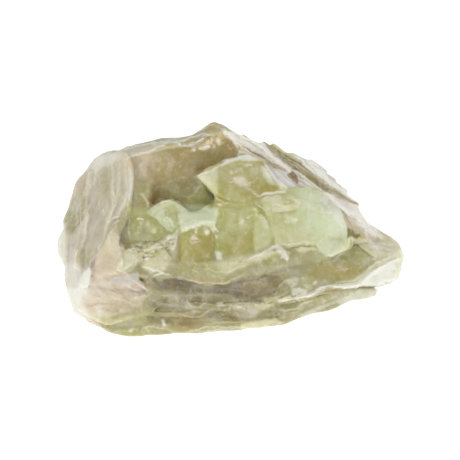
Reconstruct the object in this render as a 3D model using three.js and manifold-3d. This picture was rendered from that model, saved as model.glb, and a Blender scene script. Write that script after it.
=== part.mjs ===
// Rough green calcite: one broken lump of cloudy calcite, 90 mm long, lying on a flat cleavage face.
// The lump is drawn as its broken front is seen: x to the right, y up the front and z out of it,
// in millimetres. It is then leaned back to the way it lies, with +Z up and the origin under its middle.
import * as THREE from "three";
import Module from "manifold-3d";
import { ConvexGeometry } from "three/addons/geometries/ConvexGeometry.js";
import { TessellateModifier } from "three/addons/modifiers/TessellateModifier.js";
import { ImprovedNoise } from "three/addons/math/ImprovedNoise.js";
import { mergeVertices } from "three/addons/utils/BufferGeometryUtils.js";

const wasm = await Module();
wasm.setup();

// How the lump lies: its front leans back, and its underside is flat, this far below the front's middle
const FRONT_LEAN_DEG = 20;
const REST_HEIGHT = 22.4;
const FLOOR_SIZE = { across: 200, deep: 40 };

// The grain of the faceted skin, and the smooth noise that bends it
const LONGEST_EDGE = 5;
const MOST_SPLITS = 8;
const WELD = 0.005;
const WARP = {
  reach: 9,
  amount: 1.1,
  shifts: [
    [0, 0, 7.3],
    [3.1, 0, 0],
    [0, 5.7, 0],
  ],
};

// The great masses, each the corners of one cleaved lump
const MASSES = {
  leftShoulder: [
    [-35.6, 18.3, -3], [-32.5, 19.8, -1], [-29.6, 20.9, -0.5], [-26.3, 19.4, 5],
    [-24.5, 15.5, 8], [-24.6, 11, 9.3], [-26, 5.5, 10], [-29.5, 1, 11], [-29, -6, 12],
    [-35, 0, 7.5], [-36, -8, 9], [-37.5, -14, 9.5],
    [-40.4, 12.8, -5], [-41.9, 7.8, -6], [-43, 2.8, -6], [-43.2, -9.3, -5], [-42.3, -16, -4],
    [-40.8, -20.5, -2], [-28, 16, -12], [-34, 6, -17], [-34, -8, -18], [-30, -16, -14],
  ],
  backLeft: [
    [-33, 19.5, -5], [-26, 22.6, -4], [-20, 22.9, -5], [-14.4, 23.4, -4], [-9, 25.2, -4],
    [-26.5, 18.3, 3], [-18.5, 21, 4.5], [-11, 21.2, 5], [-5, 23, 5],
    [-26, 2, 1], [-5, 3, -2], [4, 5, -2],
    [-28, 10, -15], [-10, 14, -17], [4, 12, -18], [-30, -10, -15], [-8, -8, -18], [4, -8, -18],
    [-26, -19, -15], [4, -19, -16],
  ],
  backPeak: [
    [-9.8, 24.9, -4], [-6.4, 27.2, -4], [-4.6, 28, -5], [-2.6, 27.6, -6], [0.5, 25.2, -6],
    [6.5, 22.6, -8], [10.6, 21, -10], [17.5, 17.5, -12], [24, 14.5, -13], [29, 9.5, -14], [33, 5, -14],
    [-5, 24.2, 4], [-1, 23.2, 4.5], [4, 19, 4.5], [10, 15.5, 4], [18, 10.5, 3], [26, 5, 2], [30, 0, 2],
    [-6, 16, -17], [8, 13, -18], [22, 4, -17], [30, -4, -15],
    [0, -17.5, -12], [20, -15, -10], [28, -9, -9],
  ],
  rightWing: [
    [34.6, 3.4, -12], [39.4, -2.4, -8], [43.3, -3.8, -6], [44.2, -4.8, -3], [45.2, -6.4, -4],
    [36.6, -6.7, 4.5], [31, -3.4, 5], [26, -6, 8], [20, -9, 10.5], [12, -12, 11.5], [12, -17.5, 11.5],
    [20, -16.5, 12], [26.3, -14, 11], [32.3, -14.3, 8.5], [34.1, -13, 7.5], [38.2, -9.5, 5],
    [44.6, -9.5, -3], [43.5, -12.2, -4], [41.5, -13.6, -5], [37, -14.2, -3],
    [36, -6, -14], [28, -8, -17], [15, -10, -18], [10, -17, -8],
  ],
  underLedge: [
    [4, -18.5, 11], [20, -17.5, 9.5], [30, -15.5, 6], [37.8, -14.8, 0],
    [37.1, -16.6, 0], [34.7, -17.8, 1], [28, -18, 2.5], [22, -20.5, 4], [18, -22.8, 5], [14, -24, 6],
    [5, -25, 8],
    [30, -14, -12], [10, -18, -13], [0, -18.2, -12], [0, -24, 0], [14, -22.5, -2],
  ],
  foot: [
    [-20, -17, 11], [-10, -17.5, 12], [3, -17.5, 12], [10, -18.5, 11.5],
    [-35, -23, 6], [-30, -25.6, 8], [-24.8, -26.8, 9.5], [-19.4, -25.2, 11], [-13, -26.2, 11],
    [-5.8, -24, 12], [4.9, -24.4, 11], [14, -23.2, 7],
    [-40.5, -20.8, 1], [-39, -14, 8], [-33, -12, 11], [-38, -16, -12], [-30, -18, -14], [8, -18, -14],
    [14, -20, -6], [-30, -27, -2], [8, -25, -2],
  ],
  hollowFloor: [
    [-28, 4, 3], [-28, -8, 9], [-22, -14, 9.5], [-8, -15, 10], [8, -14, 10], [16, -12, 9.5],
    [26, 3, 3], [12, 6, 2], [-5, 5, 0], [-22, -20, 8], [10, -20, 8],
    [-20, -10, -12], [16, -10, -12],
  ],
  blockBed: [
    [-16, 0, 5.5], [-12, 3, 8], [-2, 9, 8], [8, 12, 8], [22, 9, 6.5], [29, 2, 7.5], [28, -5, 9.5],
    [14, -6, 12.5], [0, -8, 13], [-12, -8, 12], [-20, -9, 8.5],
    [-14, -4, -8], [2, 6, -10], [26, 0, -8], [22, -12, -8], [4, -14, -8],
  ],
  creamLobe: [
    [-30.2, 0, 11.5], [-28.1, -2.3, 12.6], [-27, -6, 13.6], [-26.5, -9, 14.5], [-29, -12, 15],
    [-33.5, -12.3, 13.6], [-35.6, -10.4, 12], [-33.6, -5.2, 11.8], [-31.5, -2.6, 12],
    [-30, -4, 4], [-32, -12, 4],
  ],
  lowerLobe: [
    [-38.5, -11.6, 9.5], [-33, -11.4, 12.8], [-26, -11.4, 14], [-20.6, -13.2, 12.8], [-15.5, -16.5, 11.4],
    [-19, -20.5, 12.4], [-25, -23.4, 12], [-31, -24, 10.8], [-38.5, -20.5, 6.5], [-40, -16, 6],
    [-36, -16, 0], [-24, -16, 2],
  ],
  triangularFlake: [
    [-35.8, -8.8, 12.3], [-37.8, -11, 10.4], [-39.2, -14, 9.3], [-37.6, -15.2, 10.2], [-35.6, -14.4, 12],
    [-35.2, -11.5, 12.6], [-36, -10, 4], [-38, -14, 4],
  ],
  slopeFoot: [
    [24, 9.5, 6.5], [29.5, 5.5, 8.6], [31.2, 0.5, 8.4], [31.4, -3.8, 6.8], [35, -3, 4.6], [38.6, -4, -2.6],
    [33, 6.2, -1], [36.4, -0.2, -2], [40.4, -4.4, -5.4], [28, 2, -10], [32, -4, -10],
  ],
  hollowSide: [
    [-25.6, 17.5, 4], [-24.6, 12, 6.6], [-25.2, 6, 7.6], [-27, 0.5, 8.8], [-27.6, -4, 9.4],
    [-19.5, 17, 2.6], [-19, 12, 2], [-19.5, 6.5, 3.6], [-20.5, 0, 7],
    [-25, 10, -8], [-20, 10, -8], [-26, 0, -4], [-21, 0, -4],
  ],
  upperWall: [
    [-9, 22.8, 4.6], [-5, 24.6, 4.4], [-1.2, 25.2, 4.2], [1.2, 24.2, 4.3], [3, 21.6, 4.6], [4.5, 18.6, 4.4],
    [-9, 15, 2.6], [-1, 12.5, 2], [-8, 20, -8], [2, 22, -8], [3, 18, -8], [-5, 14, -8],
  ],
  leftTip: [
    [-42, 2.6, -3], [-44.4, -1.8, -5], [-45.2, -5.9, -5], [-44, -8.4, -5], [-42.4, -9.6, -1.4], [-39, -8, 2],
    [-40, 0, 0], [-41.5, -3, -9],
  ],
};

// Blocks that stand on the broken front, each the corners of its face and how far it runs back
const BLOCKS = {
  greenPanel: {
    face: [
      [-28, 6.5, 6.8], [-20.6, 6.8, 5.4], [-15, 3, 7.4], [-13, -5, 9.8], [-18, -7.5, 10], [-28, -5.5, 9.8],
    ],
    depth: 8,
  },
  sideFlake: {
    face: [
      [-29.4, -4.6, 12.2], [-28.7, -5.3, 13], [-25, -4.6, 11.8], [-23.8, -7, 12.6], [-24.4, -9.2, 13.2],
      [-27.4, -11.2, 14], [-30, -10.6, 13.6],
    ],
    depth: 8,
  },
  crumbBed: {
    face: [[-27.5, -3.8, 11], [-18, -3.6, 10.6], [-14, -8, 12], [-18, -12.4, 12.6], [-27, -11.6, 13.2]],
    depth: 7,
  },
  mintLens: {
    face: [
      [-20.6, 5.2, 6.5], [-17.3, 7.7, 6.3], [-14.7, 8, 6.8], [-11.6, 6.2, 8], [-10.3, 4.4, 8.6],
      [-10.8, 1, 9.8], [-14.5, -1.5, 9.5], [-18.5, 3, 8],
    ],
    depth: 10,
  },
  smallBlock: {
    face: [
      [-13.3, 4.4, 9], [-3.6, 5, 10], [-12.9, 0.8, 12.2], [-3.6, 2.2, 12.6], [-3.6, -9, 14],
      [-12.4, -8.5, 13.6],
    ],
    depth: 12,
  },
  middleBlock: {
    face: [
      [-3.9, 8.2, 11.4], [5.6, 9.5, 12], [-3.9, 5, 12.7], [5.5, 6.4, 13.2], [10.8, 4, 14],
      [12.4, -3.4, 14.6], [8.3, -6, 15], [0, -8.3, 15], [-3.9, -8.3, 14.6],
    ],
    depth: 14,
  },
  toothBlock: {
    face: [
      [-8.8, 13.9, 10.5], [-3.6, 15.8, 9], [-1, 18, 7.5], [3.9, 19.4, 6.5], [8.3, 18.1, 6.5],
      [11.6, 13.2, 9], [14.7, 11, 10], [11.5, 7.5, 12.6], [6, 7, 13.2], [-0.3, 7, 13.2], [-4.9, 9.3, 12.2],
      [-7, 11.6, 11.4],
    ],
    depth: 6,
  },
  crackBed: {
    face: [
      [1, 9.5, 11.4], [8, 10.6, 10.8], [14.4, 10.2, 9.6], [15, 6, 12.8], [9.6, 4.6, 13.3], [3, 4.6, 12.8],
    ],
    depth: 8,
  },
  mintBlock: {
    face: [
      [12, 10.5, 9.6], [21, 10.9, 8], [24.8, 8.5, 8], [8.6, 6.4, 13.2], [14, 7, 13], [21, 6.5, 13],
      [25.5, 4.5, 12.5], [28.5, 5, 10], [30.5, 1, 10], [31, -2, 10.3], [31, -4, 10.5], [30, -5.3, 10.5],
      [25.8, -7, 12], [22.7, -8.3, 12.6], [24.5, -4, 14.2], [11, -5.6, 15], [11, 0, 14.8],
    ],
    depth: 15,
  },
  creamRim: {
    face: [
      [-18, -8, 11.5], [-13, -8.5, 13.5], [0, -8, 15.3], [10, -5.2, 15.6], [13, -4.8, 15.3], [20, -5.6, 13.4],
      [23, -8.2, 12], [15, -9, 13.6], [6, -11.2, 14.8], [-1.5, -13.6, 14.8], [-8, -13.2, 14.2],
      [-16, -12, 13], [-20.6, -11.6, 12],
    ],
    depth: 7,
  },
  grooveShelf: {
    face: [
      [-22.5, -11.8, 11.2], [-16, -12, 12.2], [-8, -13.2, 13.4], [-1.5, -13.6, 13.9], [6, -10.9, 13.9],
      [15, -7.8, 13], [25, -7.4, 11.2], [-20, -17.6, 10.4], [-8, -18.2, 10.9], [8, -18.2, 10.9],
      [20, -15, 10.6], [27, -11, 9.6],
    ],
    depth: 7,
  },
};

// Sheets that split off the upper right. Each runs along the slope between its ends, and out from its
// inner to its outer side. Its front is given at both ends, and slants back towards its outer side.
const SLOPE_DEG = -32.5;
const SHEET_BACK = -14;
const SHEETS = [
  { ends: [-9, 27], sides: [17.2, 19.4], front: [5.8, 3.2], slant: 0.6 },
  { ends: [-12, 24.5], sides: [19.2, 20.6], front: [4.2, 0], slant: 0.3 },
  { ends: [-14, 5], sides: [20.3, 21.5], front: [4.4, 2.2], slant: 1.2 },
  { ends: [-10.4, 5], sides: [21.2, 22.7], front: [3.4, 1.6], slant: 1 },
  { ends: [-5.5, 25], sides: [20.4, 24], front: [2.6, -2.6], slant: 2.4 },
  { ends: [-3, 21], sides: [23.2, 25.2], front: [-1.5, -6], slant: 1.6 },
  { ends: [2.4, 16.5], sides: [24.6, 26], front: [-3, -7], slant: 2 },
  { ends: [7.5, 13.5], sides: [25.7, 26.9], front: [-6, -8], slant: 1.5 },
];

// Cleavage rhombs that step down the back, all turned alike: the middle of each, and its edges
const RHOMB_ANGLE_DEG = 101.9;
const RHOMBS = [
  { middle: [-22, 5, -12], edges: [17, 17, 11] },
  { middle: [-9, 10, -14], edges: [15, 13, 11] },
  { middle: [-12, -5, -15], edges: [19, 14, 13] },
  { middle: [-29, -8, -11], edges: [12, 13, 10] },
  { middle: [5, 3, -15], edges: [17, 14, 13] },
  { middle: [9, -9, -13], edges: [20, 9, 12] },
  { middle: [18, 3, -12], edges: [13, 12, 11] },
  { middle: [25, -6, -10], edges: [15, 8, 11] },
];

// Ridges: how wide the foot of each is, how far it stands out, and the points of its crest
const RIDGES = {
  curtainRim: {
    width: 1.8,
    height: 0.9,
    crest: [[-26.3, 18.8, 4.6], [-24.6, 15.5, 8], [-24.8, 11, 9.4], [-26.3, 5.6, 10.2], [-28.6, 1.5, 11]],
  },
  curtainFold: {
    width: 2.2,
    height: 0.9,
    crest: [[-30.6, 18.2, 1.5], [-30.2, 10, 6.2], [-31.2, 2, 9], [-33, -6, 10]],
  },
  curtainSide: {
    width: 3,
    height: 0.7,
    crest: [[-35.4, 15.5, -0.5], [-36.4, 8, 2.4], [-36.6, 1, 5], [-38, -5, 6], [-38.4, -10, 7.4]],
  },
  roofEdge: {
    width: 1.8,
    height: 0.7,
    crest: [[-26.6, 18.6, 3.4], [-20.6, 20.7, 4.2], [-13.9, 21.6, 5], [-8.3, 22.4, 5.2], [-4.4, 24, 4.2]],
  },
  wingRim: {
    width: 1.8,
    height: 1,
    crest: [
      [8.3, -18.4, 11.6], [18.1, -16.8, 12], [26.3, -13.9, 11.2], [32.3, -14.2, 8.6], [38.2, -9.5, 5.2],
      [44.4, -6.4, -2.6],
    ],
  },
};
const RIDGE_ROOT = 3;

// Ledges of the foot: the top of each, its thickness, how far out it reaches and the stretch it runs along.
// The outline gives shares of that stretch, and how far the front edge falls back there.
const LEDGES = [
  { top: -18.4, thick: 1.5, reach: 12.9, ends: [-19, 13] },
  { top: -20.6, thick: 1.1, reach: 12.6, ends: [-30, 4] },
  { top: -22.4, thick: 1.3, reach: 12.4, ends: [-22, 12] },
  { top: -23.9, thick: 1.2, reach: 11.8, ends: [-28, 2] },
];
const LEDGE_OUTLINE = [[0, 4], [0.25, 0.4], [0.5, 0], [0.8, 0.7], [1, 4]];
const LEDGE_UNDERCUT = 0.4;
const LEDGE_ROOT = 8;

// Gives neighbouring triangles the same corners, and drops those that have shrunk to a line.
function welded(geometry) {
  const bare = new THREE.BufferGeometry().setAttribute("position", geometry.getAttribute("position"));
  const closed = mergeVertices(bare.setIndex(geometry.getIndex()), WELD);
  const corners = [...closed.getIndex().array];
  const sides = [];
  for (let i = 0; i < corners.length; i += 3) {
    const side = corners.slice(i, i + 3);
    if (new Set(side).size === 3) sides.push(...side);
  }
  return closed.setIndex(sides);
}

function solidOf(geometry) {
  const closed = welded(geometry);
  return new wasm.Manifold(
    new wasm.Mesh({
      numProp: 3,
      vertProperties: closed.getAttribute("position").array,
      triVerts: new Uint32Array(closed.getIndex().array),
    }),
  );
}

function geometryOf(solid) {
  const mesh = solid.getMesh();
  return new THREE.BufferGeometry()
    .setAttribute("position", new THREE.BufferAttribute(mesh.vertProperties, 3))
    .setIndex(new THREE.BufferAttribute(mesh.triVerts, 1));
}

const hull = (corners) => solidOf(new ConvexGeometry(corners.map((c) => new THREE.Vector3(...c))));

const block = ({ face, depth }) => hull([...face, ...face.map(([x, y, z]) => [x, y, z - depth])]);

// The three edge directions of a cleavage rhomb stand evenly about its own axis.
const AXIS = new THREE.Vector3(1, 1, 1).normalize();
const alongAxis = Math.sqrt((1 + 2 * Math.cos(THREE.MathUtils.degToRad(RHOMB_ANGLE_DEG))) / 3);
const EDGE_DIRECTIONS = [0, 1, 2].map((i) => {
  const aside = new THREE.Vector3().setComponent(i, 1).projectOnPlane(AXIS);
  return aside.setLength(Math.sqrt(1 - alongAxis ** 2)).addScaledVector(AXIS, alongAxis);
});

function rhomb({ middle, edges }) {
  const halves = [-0.5, 0.5];
  const corners = [];
  for (const a of halves) {
    for (const b of halves) {
      for (const c of halves) {
        const corner = new THREE.Vector3(...middle);
        [a, b, c].forEach((share, i) => corner.addScaledVector(EDGE_DIRECTIONS[i], share * edges[i]));
        corners.push(corner.toArray());
      }
    }
  }
  return hull(corners);
}

// A sheet of the upper right, turned to lie along the slope
function sheet({ ends, sides, front, slant }) {
  const slope = THREE.MathUtils.degToRad(SLOPE_DEG);
  const at = (along, out, z) => [
    along * Math.cos(slope) - out * Math.sin(slope),
    along * Math.sin(slope) + out * Math.cos(slope),
    z,
  ];
  const corners = [];
  ends.forEach((along, i) => {
    corners.push(at(along, sides[0], front[i]), at(along, sides[1], front[i] - slant));
    corners.push(at(along, sides[0], SHEET_BACK), at(along, sides[1], SHEET_BACK));
  });
  return hull(corners);
}

// A tent between each two points of a crest, down to nothing at both its ends
function ridge({ width, height, crest }) {
  const tents = [];
  for (let i = 0; i + 1 < crest.length; i++) {
    const run = new THREE.Vector2(crest[i + 1][0] - crest[i][0], crest[i + 1][1] - crest[i][1]);
    const { x: along, y: up } = run.setLength(width / 2);
    const tent = [];
    for (const j of [i, i + 1]) {
      const [x, y, z] = crest[j];
      const peak = j > 0 && j + 1 < crest.length ? height : 0;
      tent.push([x, y, z + peak], [x - up, y + along, z - height], [x + up, y - along, z - height]);
      tent.push([x, y, z - RIDGE_ROOT * height]);
    }
    tents.push(hull(tent));
  }
  return tents;
}

// A thin shelf that stands out of the foot, and falls back towards its ends
function ledge({ top, thick, reach, ends }) {
  const corners = [];
  for (const [share, back] of LEDGE_OUTLINE) {
    const x = THREE.MathUtils.lerp(...ends, share);
    const z = reach - back;
    corners.push([x, top, z], [x, top - thick, z - LEDGE_UNDERCUT], [x, top - thick / 2, z - LEDGE_ROOT]);
  }
  return hull(corners);
}

// Splits the skin into small facets and bends it, so that no face stays perfectly flat.
function weathered(solid) {
  const coarse = welded(geometryOf(solid)).toNonIndexed();
  const skin = welded(new TessellateModifier(LONGEST_EDGE, MOST_SPLITS).modify(coarse));
  const noise = new ImprovedNoise();
  const points = skin.getAttribute("position");
  for (let i = 0; i < points.count; i++) {
    const point = [points.getX(i), points.getY(i), points.getZ(i)];
    const bent = WARP.shifts.map((shift, axis) => {
      const place = point.map((value, k) => value / WARP.reach + shift[k]);
      return point[axis] + WARP.amount * noise.noise(...place);
    });
    points.setXYZ(i, ...bent);
  }
  return skin;
}

const pieces = [
  ...Object.values(MASSES).map(hull),
  ...Object.values(BLOCKS).map(block),
  ...RHOMBS.map(rhomb),
  ...SHEETS.map(sheet),
  ...Object.values(RIDGES).flatMap(ridge),
  ...LEDGES.map(ledge),
];
const lump = pieces.reduce((whole, piece) => whole.add(piece));

// Leaned back, and cut flat underneath
const leaned = weathered(lump);
leaned.rotateX(THREE.MathUtils.degToRad(90 - FRONT_LEAN_DEG));
leaned.translate(0, 0, REST_HEIGHT);
const floor = new THREE.BoxGeometry(FLOOR_SIZE.across, FLOOR_SIZE.across, FLOOR_SIZE.deep);
floor.translate(0, 0, -FLOOR_SIZE.deep / 2);
const rested = welded(geometryOf(solidOf(leaned).subtract(solidOf(floor))));
rested.computeBoundingBox();
const middle = rested.boundingBox.getCenter(new THREE.Vector3());
rested.translate(-middle.x, -middle.y, 0);
rested.computeVertexNormals();

const calcite = new THREE.Mesh(
  rested,
  new THREE.MeshStandardMaterial({ color: new THREE.Color(0.7, 0.69, 0.5), roughness: 0.3, metalness: 0 }),
);
calcite.name = "calcite_lump";

const stone = new THREE.Group();
stone.add(calcite);
export default stone;
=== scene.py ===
import logging
import math
from dataclasses import dataclass, field
from enum import Enum
from itertools import product
from typing import Iterable, Sequence

import bpy
import numpy as np
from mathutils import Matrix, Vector
from mathutils.bvhtree import BVHTree


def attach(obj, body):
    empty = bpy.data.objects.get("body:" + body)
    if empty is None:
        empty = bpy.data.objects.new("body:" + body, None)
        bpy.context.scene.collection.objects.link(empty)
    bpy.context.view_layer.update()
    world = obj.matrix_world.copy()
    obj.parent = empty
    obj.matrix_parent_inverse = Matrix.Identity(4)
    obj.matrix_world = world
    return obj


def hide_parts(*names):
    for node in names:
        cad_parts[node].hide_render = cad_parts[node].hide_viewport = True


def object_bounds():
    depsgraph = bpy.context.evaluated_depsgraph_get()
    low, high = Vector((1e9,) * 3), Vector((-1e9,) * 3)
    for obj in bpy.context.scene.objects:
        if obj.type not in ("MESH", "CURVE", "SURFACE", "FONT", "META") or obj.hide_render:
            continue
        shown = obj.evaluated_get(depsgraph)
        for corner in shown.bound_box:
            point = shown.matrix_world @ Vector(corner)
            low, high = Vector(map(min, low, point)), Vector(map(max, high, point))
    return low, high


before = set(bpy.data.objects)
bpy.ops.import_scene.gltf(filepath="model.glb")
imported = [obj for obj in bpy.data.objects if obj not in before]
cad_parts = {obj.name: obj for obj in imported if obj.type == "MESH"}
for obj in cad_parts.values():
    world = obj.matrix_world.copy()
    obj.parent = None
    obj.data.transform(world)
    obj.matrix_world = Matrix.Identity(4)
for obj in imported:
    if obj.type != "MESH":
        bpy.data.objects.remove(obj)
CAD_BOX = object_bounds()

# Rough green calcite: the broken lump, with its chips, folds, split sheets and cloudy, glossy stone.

Array = np.ndarray
Pair = tuple[float, float]
Triple = tuple[float, float, float]

LOG = logging.getLogger("calcite")
NODE = "calcite_lump"
MM = 0.001
# The share of white that the stone's surface throws back over its own colour, and the least colour left
GLOSS = 0.045
DARKEST = 0.01


def path(text: str) -> Array:
    """Reads the corners of a drawn line, in squares, each as "right,down"."""
    return np.array([corner.split(",") for corner in text.split()], dtype=float)


def smooth_step(low: float, high: float, value: Array) -> Array:
    """Rises softly from 0 where the value is low to 1 where it is high."""
    share = np.clip((value - low) / (high - low), 0.0, 1.0)
    return share * share * (3.0 - 2.0 * share)


def corners_of(mesh: bpy.types.Mesh) -> Array:
    """Reads a mesh's corners.

    Args:
        mesh: The mesh.

    Returns:
        The corners, one to a row.
    """
    found = np.empty(len(mesh.vertices) * 3, np.float32)
    mesh.vertices.foreach_get("co", found)
    return found.reshape(-1, 3)


def move_corners(mesh: bpy.types.Mesh, places: Array) -> None:
    """Moves all corners of a mesh to new places."""
    mesh.vertices.foreach_set("co", places.astype(np.float32).ravel())
    mesh.update()


def scrambled(numbers: Array) -> Array:
    """Turns numbers into others from 0 to 1 that follow no pattern, but are the same in each run."""
    rolls = np.abs(np.sin(numbers)) * 43758.5453
    return rolls - np.floor(rolls)


def linear(red: float, green: float, blue: float) -> tuple[float, float, float, float]:
    """Turns a colour as seen on a screen, from 0 to 1, into the light that it stands for, with full cover."""
    light = [c / 12.92 if c <= 0.04045 else ((c + 0.055) / 1.055) ** 2.4 for c in (red, green, blue)]
    return (light[0], light[1], light[2], 1.0)


class Tint(Enum):
    """The colours of the stone, as seen on a screen, with the gloss that lies over them."""

    BEIGE = (0.80, 0.76, 0.68)
    ASH = (0.74, 0.72, 0.66)
    BLUSH = (0.81, 0.74, 0.69)
    PEACH = (0.88, 0.82, 0.73)
    TAN = (0.75, 0.69, 0.56)
    OCHRE = (0.73, 0.655, 0.44)
    BARK = (0.62, 0.56, 0.37)
    UMBER = (0.52, 0.46, 0.32)
    OLIVE = (0.56, 0.54, 0.30)
    KHAKI = (0.68, 0.66, 0.49)
    MOSS = (0.70, 0.70, 0.43)
    HONEY = (0.70, 0.66, 0.38)
    PISTACHIO = (0.80, 0.81, 0.62)
    MINT = (0.86, 0.89, 0.77)
    SMOKE = (0.53, 0.49, 0.41)
    CREAM = (0.85, 0.83, 0.69)
    FROST = (0.92, 0.92, 0.88)
    LILAC = (0.88, 0.87, 0.87)
    SNOW = (0.97, 0.96, 0.93)
    AMBER = (0.56, 0.45, 0.10)

    def paint(self) -> Array:
        """Gives the stone's own light for the tint, without its gloss."""
        return np.maximum(np.array(linear(*self.value)[:3]) - GLOSS, DARKEST) / (1.0 - GLOSS)


@dataclass(frozen=True)
class Sheet:
    """The sheet that the front is drawn on: squared paper in front of the eye, x to the right and y down.

    The paper stands square to the eye's line through the lump's middle, which the lean tips back.
    """

    squares: int = 460
    across: float = 118.6
    eye: float = 593.0
    lean_deg: float = 20.0
    middle: Triple = (-0.161, -2.757, 22.4)

    def axes(self) -> Array:
        """Gives the front's own directions.

        Returns:
            Right, up and out of the front, one to a row.
        """
        lean = math.radians(self.lean_deg)
        return np.array([
            [1.0, 0.0, 0.0],
            [0.0, math.sin(lean), math.cos(lean)],
            [0.0, -math.cos(lean), math.sin(lean)],
        ])

    def from_row(self, points: Array) -> Array:
        """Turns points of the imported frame, in mm, into the front's own right, up and out."""
        return (points - np.array(self.middle)) @ self.axes().T

    def to_row(self, points: Array) -> Array:
        """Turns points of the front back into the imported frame, in mm."""
        return points @ self.axes() + np.array(self.middle)

    def drawn(self, points: Array) -> Array:
        """Finds where the eye sees points of the front.

        Args:
            points: Right, up and out in mm, one point to a row.

        Returns:
            Squares to the right and down, one point to a row.
        """
        nearer = self.eye / (self.eye - points[:, 2]) * self.squares / self.across
        half = self.squares / 2
        return np.stack([half + points[:, 0] * nearer, half - points[:, 1] * nearer], axis=1)


class Noise:
    """Smooth gradient noise that is the same in each run."""

    CELLS = 256
    LAYERS = 3
    LAYER_SHIFT = 17.3
    GAIN = 1.6

    def __init__(self, seed: int) -> None:
        """Draws the lattice.

        Args:
            seed: Which lattice to draw.
        """
        draw = np.random.default_rng(seed)
        self.order = draw.permutation(self.CELLS)
        slopes = draw.normal(size=(self.CELLS, 3))
        self.slopes = slopes / np.linalg.norm(slopes, axis=1, keepdims=True)

    def at(self, points: Array, size: float | Sequence[float]) -> Array:
        """Reads the noise.

        Args:
            points: Places in mm, one to a row.
            size: How long its waves are in mm, for all three axes or for each.

        Returns:
            About -1 to 1 for each place.
        """
        place = points / np.asarray(size, dtype=float)
        cell = np.floor(place).astype(np.int64)
        part = place - cell
        ease = part ** 3 * (part * (part * 6.0 - 15.0) + 10.0)
        last = self.CELLS - 1
        total = np.zeros(len(points))
        for corner in product((0, 1), repeat=3):
            i, j, k = ((cell + corner) & last).T
            pick = self.order[(self.order[(self.order[i] + j) & last] + k) & last]
            share = np.prod(np.where(np.array(corner) == 1, ease, 1.0 - ease), axis=1)
            total += share * np.einsum("ij,ij->i", self.slopes[pick], part - corner)
        return total * self.GAIN

    def layers(self, points: Array, size: float | Sequence[float]) -> Array:
        """Adds up noise of smaller and smaller waves.

        Args:
            points: Places in mm, one to a row.
            size: The longest waves in mm.

        Returns:
            About -1 to 1 for each place.
        """
        size = np.asarray(size, dtype=float)
        shifts = [self.LAYER_SHIFT * i for i in range(self.LAYERS)]
        parts = [self.at(points + shift, size / 2.0 ** i) / 2.0 ** i for i, shift in enumerate(shifts)]
        return np.sum(parts, axis=0) / 1.5

    def summed(self, points: Array, waves: dict[float, float]) -> Array:
        """Adds up waves whose heights are given by their sizes (mm)."""
        return sum(height * self.at(points, size) for size, height in waves.items())

    def apart(self, points: Array, waves: dict[float, float], shifts: Sequence[float]) -> Array:
        """Adds up the waves once for each shift of the points, in a column for each."""
        return np.stack([self.summed(points + shift, waves) for shift in shifts], axis=1)


class Spots:
    """Where the corners of the skin are on the drawing, sorted so that those near a mark are found fast."""

    def __init__(self, places: Array) -> None:
        """Sorts the spots.

        Args:
            places: Squares right and down, one spot to a row.
        """
        self.places = places
        self.order = np.argsort(places[:, 0])
        self.right = places[self.order, 0]

    def near(self, corners: Array, reach: float) -> Array:
        """Finds the spots round a mark.

        Args:
            corners: The mark's corners in squares.
            reach: How far round the corners to look, in squares.

        Returns:
            The numbers of the spots.
        """
        low = corners.min(axis=0) - reach
        high = corners.max(axis=0) + reach
        first, last = np.searchsorted(self.right, (low[0], high[0]))
        numbers = self.order[first:last]
        down = self.places[numbers, 1]
        return numbers[(down > low[1]) & (down < high[1])]


def is_inside(spots: Array, corners: Array) -> Array:
    """Tells which spots lie inside a closed outline.

    Args:
        spots: Squares right and down, one spot to a row.
        corners: The outline's corners in squares.

    Returns:
        True for each spot that lies inside.
    """
    inside = np.zeros(len(spots), dtype=bool)
    for start, end in zip(corners, np.roll(corners, -1, axis=0)):
        if start[1] != end[1]:
            crossing = start[0] + (spots[:, 1] - start[1]) / (end[1] - start[1]) * (end[0] - start[0])
            between = (spots[:, 1] >= min(start[1], end[1])) & (spots[:, 1] < max(start[1], end[1]))
            inside ^= between & (spots[:, 0] < crossing)
    return inside


@dataclass(frozen=True)
class Patch:
    """A closed patch of the drawing, in squares, whose border fades over soft squares."""

    outline: str
    soft: float = 3.0

    def cover_at(self, spots: Spots) -> tuple[Array, Array]:
        """Finds which spots lie in the patch.

        Args:
            spots: Where the corners of the skin are on the drawing.

        Returns:
            The numbers of the spots near it, and from 0 to 1 how far each is inside.
        """
        corners = path(self.outline)
        near = spots.near(corners, self.soft + 0.5)
        spot = spots.places[near]
        gap = np.full(len(near), np.inf)
        for start, end in zip(corners, np.roll(corners, -1, axis=0)):
            gap = np.minimum(gap, distance_to(spot, start, end)[0])
        return near, smooth_step(-self.soft, self.soft, np.where(is_inside(spot, corners), gap, -gap))


@dataclass(frozen=True)
class Chip:
    """A flat broken patch. It stands out by lift (mm), or lies back where that is less than 0."""

    tint: Tint
    cover: float
    soft: float
    outline: str
    lift: float = 0.0

    def cover_at(self, spots: Spots) -> tuple[Array, Array]:
        """Finds which spots lie in the chip, and how far inside."""
        return Patch(self.outline, self.soft).cover_at(spots)


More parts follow.
